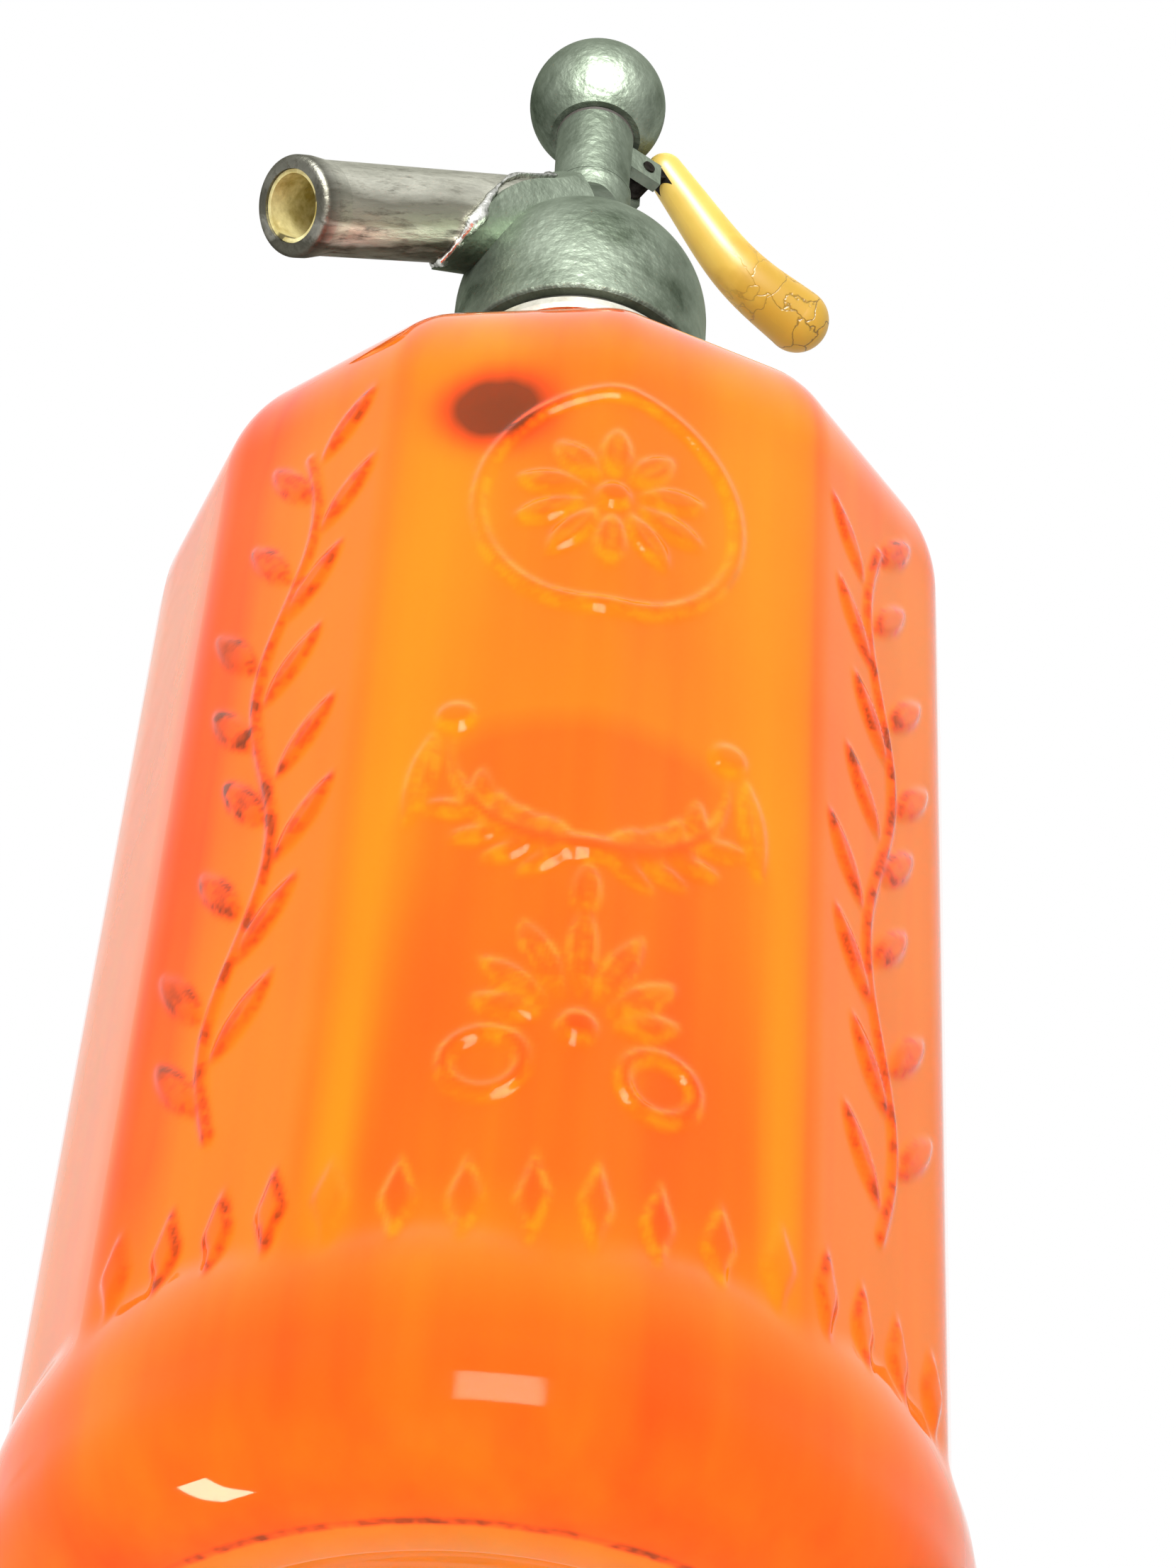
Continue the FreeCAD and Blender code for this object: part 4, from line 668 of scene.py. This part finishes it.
# The bead is a closed tube, flatter outwards than along the spout, of uneven width with one blob.
STEPS, ROUND, BLOB_TURN = 96, 12, 2.36
round_it = np.linspace(0, 2 * math.pi, ROUND, endpoint=False)[:, None]
loops = []
for turn in np.linspace(0, 2 * math.pi, STEPS, endpoint=False):
    middle, out = hand_line(turn)
    swell = 0.8 + 0.22 * math.sin(5 * turn + 1) + 0.16 * math.sin(11 * turn) + 0.1 * math.sin(23 * turn + 2)
    swell += 0.9 * math.exp(-((turn - BLOB_TURN) / 0.35) ** 2)
    loops.append(middle + swell * (0.7 * np.cos(round_it) * out + np.sin(round_it) * spout_way))
i, j = np.indices((STEPS, ROUND))
next_i, next_j = (i + 1) % STEPS, (j + 1) % ROUND
faces = np.stack([ROUND * i + j, ROUND * next_i + j, ROUND * next_i + next_j, ROUND * i + next_j], -1)
faces = faces.reshape(-1, 4)
mesh = bpy.data.meshes.new("solder_bead")
mesh.from_pydata((np.concatenate(loops) * MM).tolist(), [], faces.tolist())
mesh.polygons.foreach_set("use_smooth", np.ones(len(faces), dtype=bool))
solder = bpy.data.objects.new("solder_bead", mesh)
scene.collection.objects.link(solder)
solder.data.materials.append(metal("wiped_solder_bright", "#F0F0EA", "#8E908A", 0.22, 700.0, 0.9))
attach(solder, "bottle")

# Tarnished tube with painted reflection: bands of light and dark go round it from the upper right to the
# lower left, with a bright streak low on the left, broken up by scratches along it.
made, tree, out = blank("cast_pewter_tarnish_and_painted_sheen")
where = add(tree, "ShaderNodeTexCoord")


def distance(direction):
    """Distance in metres along a direction, as a node output."""
    return add(tree, "ShaderNodeVectorMath", {0: where.outputs["Object"], 1: direction},
               operation="DOT_PRODUCT").outputs["Value"]


def at_root(direction):
    """That distance at the spout's root."""
    return float(SPOUT_ROOT @ direction) * MM


drawn = add(tree, "ShaderNodeCombineXYZ", {0: distance(spout_way * 0.2), 1: distance(sideways),
                                           2: distance(underneath)})
streak = add(tree, "ShaderNodeTexNoise", {"Vector": drawn.outputs[0], "Scale": 300.0, "Detail": 5.0})
# Painted reflection: the tone is laid by the place across the tube toward its lower left, in light and dark
# bands with a bright streak.
side = add(tree, "ShaderNodeMapRange", {"Value": distance(lower_left),
                                        "From Min": at_root(lower_left) - SPOUT_RADIUS * MM,
                                        "From Max": at_root(lower_left) + SPOUT_RADIUS * MM})
spread = add(tree, "ShaderNodeMapRange", {"Value": streak.outputs["Fac"], "To Min": -0.3, "To Max": 0.3})
mixed = add(tree, "ShaderNodeMath", {0: side.outputs["Result"], 1: spread.outputs["Result"]}, operation="ADD")
ramp = add(tree, "ShaderNodeValToRGB", {"Fac": mixed.outputs[0]})
ramp.color_ramp.elements[0].color = linear("#A3A396")
ramp.color_ramp.elements[1].color = linear("#7E7D70")
for place, colour in ((0.18, "#BDBDB0"), (0.4, "#77766A"), (0.6, "#8E8C7E"), (0.74, "#E0DFD2"),
                      (0.82, "#B4B3A6"), (0.88, "#66655A")):
    ramp.color_ramp.elements.new(place).color = linear(colour)

# It is grimy in the last 4 mm before the mouth, has the casting's colour where it runs in the socket, and
# has specks of dirt about 1 mm across.
mouth_at = at_root(spout_way) + SPOUT_LENGTH * MM
mouth = add(tree, "ShaderNodeMapRange", {"Value": distance(spout_way), "From Min": mouth_at - 0.004,
                                         "From Max": mouth_at - 0.001, "To Max": 0.75})
grimy = add(tree, "ShaderNodeMixRGB", {"Fac": mouth.outputs["Result"], "Color1": ramp.outputs["Color"],
                                       "Color2": linear("#3C3B34")})
in_head = add(tree, "ShaderNodeMapRange", {"Value": distance(spout_way), "To Min": 1.0, "To Max": 0.0,
                                           "From Min": at_root(spout_way) + 0.0095,
                                           "From Max": at_root(spout_way) + 0.0115})
cast = add(tree, "ShaderNodeMixRGB", {"Fac": in_head.outputs["Result"], "Color1": grimy.outputs["Color"],
                                      "Color2": linear("#6C7568")})
spots = add(tree, "ShaderNodeTexNoise", {"Vector": drawn.outputs[0], "Scale": 900.0, "Detail": 6.0,
                                         "Roughness": 0.7})
dirt = add(tree, "ShaderNodeMapRange", {"Value": spots.outputs["Fac"], "From Min": 0.5, "From Max": 0.68,
                                        "To Max": 0.75})
dirty = add(tree, "ShaderNodeMixRGB", {"Fac": dirt.outputs["Result"], "Color1": cast.outputs["Color"],
                                       "Color2": linear("#38362E")})
gloss = add(tree, "ShaderNodeMapRange", {"Value": spots.outputs["Fac"], "From Min": 0.4, "From Max": 0.68,
                                         "To Min": 0.34, "To Max": 0.55})
bump = add(tree, "ShaderNodeBump", {"Height": spots.outputs["Fac"], "Strength": 0.5, "Distance": 0.0004})
tarnish_and_painted_sheen = add(tree, "ShaderNodeBsdfPrincipled", {
    "Base Color": dirty.outputs["Color"], "Metallic": 0.85, "Roughness": gloss.outputs["Result"],
    "Specular Tint": linear("#8C8C86"), "Normal": bump.outputs["Normal"]})
tree.links.new(tarnish_and_painted_sheen.outputs[0], out.inputs["Surface"])
dress(["spout_tube"], made)


# ---- Rubber and leather washers -------------------------------------------------------------------------
# Moulded red rubber, and leather punched from the sheet and soaked in tallow. Both are matt, with a grain
# about 1 mm across.

def soft_stuff(name, pale, dark, rough, grain):
    """Matt stuff: two tones in a fine grain, with the grain raised."""
    made, tree, out = blank(name)
    where = add(tree, "ShaderNodeTexCoord")
    noise = add(tree, "ShaderNodeTexNoise", {"Vector": where.outputs["Object"], "Scale": grain,
                                             "Detail": 4.0})
    ramp = add(tree, "ShaderNodeValToRGB", {"Fac": noise.outputs["Fac"]})
    ramp.color_ramp.elements[0].color = linear(dark)
    ramp.color_ramp.elements[1].color = linear(pale)
    bump = add(tree, "ShaderNodeBump", {"Height": noise.outputs["Fac"], "Strength": 0.3, "Distance": 0.0003})
    matt = add(tree, "ShaderNodeBsdfPrincipled", {"Base Color": ramp.outputs["Color"], "Roughness": rough,
                                                  "Normal": bump.outputs["Normal"]})
    tree.links.new(matt.outputs[0], out.inputs["Surface"])
    return made


dress(["neck_gasket", "valve_disc", "tube_gasket"],
      soft_stuff("moulded_red_rubber", "#6A2A1E", "#4A1C15", 0.6, 900.0))
dress(["packing_ring", "cap_gasket"], soft_stuff("tallowed_leather", "#4E4338", "#2E2620", 0.7, 1200.0))

# ---- Dip tube -------------------------------------------------------------------------------------------
# Clear glass tube, drawn, that reaches down to the base. Drawing leaves faint waves about 17 mm long.
made, tree, out = blank("drawn_clear_glass")
where = add(tree, "ShaderNodeTexCoord")
draw = add(tree, "ShaderNodeTexNoise", {"Vector": where.outputs["Object"], "Scale": 60.0})
bump = add(tree, "ShaderNodeBump", {"Height": draw.outputs["Fac"], "Strength": 0.05, "Distance": 0.0004})
clear = add(tree, "ShaderNodeBsdfPrincipled", {"Base Color": linear("#F2F6F2"), "Roughness": 0.03, "IOR": 1.5,
                                               "Transmission Weight": 1.0, "Normal": bump.outputs["Normal"]})
tree.links.new(clear.outputs[0], out.inputs["Surface"])
dress(["dip_tube"], made)

# ---- Lever grip -----------------------------------------------------------------------------------------
# Moulded celluloid in an old ivory yellow, softly glossy. It is deeper in colour towards the tip, in clouds
# about 6 mm across, and has fine dark cracks there, about 5 mm apart.
grip_low, grip_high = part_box("lever_grip")
made, tree, out = blank("moulded_celluloid_ivory")
where = add(tree, "ShaderNodeTexCoord")
place = add(tree, "ShaderNodeSeparateXYZ", {0: where.outputs["Object"]})
toward_tip = add(tree, "ShaderNodeMapRange", {"Value": place.outputs["X"], "From Min": grip_low[0],
                                              "From Max": grip_high[0]})
cloud = add(tree, "ShaderNodeTexNoise", {"Vector": where.outputs["Object"], "Scale": 160.0, "Detail": 4.0})
wave = add(tree, "ShaderNodeMath", {0: cloud.outputs["Fac"], 1: 0.7}, operation="MULTIPLY")
tone = add(tree, "ShaderNodeMath", {0: toward_tip.outputs["Result"], 1: wave.outputs[0]}, operation="ADD")
ramp = add(tree, "ShaderNodeValToRGB", {"Fac": tone.outputs[0]})
ramp.color_ramp.elements[0].position = 0.3
ramp.color_ramp.elements[0].color = linear("#F5D670")
ramp.color_ramp.elements[1].position = 1.3 / 1.35
ramp.color_ramp.elements[1].color = linear("#D2A63C")
ramp.color_ramp.elements.new(0.75).color = linear("#EBC658")

# Cracks: the borders between cells, bent by up to 4 mm so that they aren't straight.
bend = add(tree, "ShaderNodeTexNoise", {"Vector": where.outputs["Object"], "Scale": 300.0, "Detail": 3.0})
moved = add(tree, "ShaderNodeVectorMath", {0: bend.outputs["Color"], "Scale": 0.004}, operation="SCALE")
shifted = add(tree, "ShaderNodeVectorMath", {0: where.outputs["Object"], 1: moved.outputs[0]},
              operation="ADD")
net = add(tree, "ShaderNodeTexVoronoi", {"Vector": shifted.outputs[0], "Scale": 190.0},
          feature="DISTANCE_TO_EDGE")
line = add(tree, "ShaderNodeMapRange", {"Value": net.outputs["Distance"], "From Min": 0.0, "From Max": 0.03,
                                        "To Min": 1.0, "To Max": 0.0})
old_end = add(tree, "ShaderNodeMapRange", {"Value": toward_tip.outputs["Result"], "From Min": 0.4,
                                           "From Max": 0.95})
crack = add(tree, "ShaderNodeMath", {0: line.outputs["Result"], 1: old_end.outputs["Result"]},
            operation="MULTIPLY")
stain = add(tree, "ShaderNodeMixRGB", {"Fac": crack.outputs[0], "Color1": ramp.outputs["Color"],
                                       "Color2": linear("#6E5320")})
bump = add(tree, "ShaderNodeBump", {"Height": crack.outputs[0], "Strength": 0.5, "Distance": 0.0004},
           invert=True)
ivory = add(tree, "ShaderNodeBsdfPrincipled", {
    "Base Color": stain.outputs["Color"], "Roughness": 0.4, "IOR": 1.5, "Specular IOR Level": 0.25,
    "Normal": bump.outputs["Normal"]})
tree.links.new(ivory.outputs[0], out.inputs["Surface"])
dress(["lever_grip"], made)
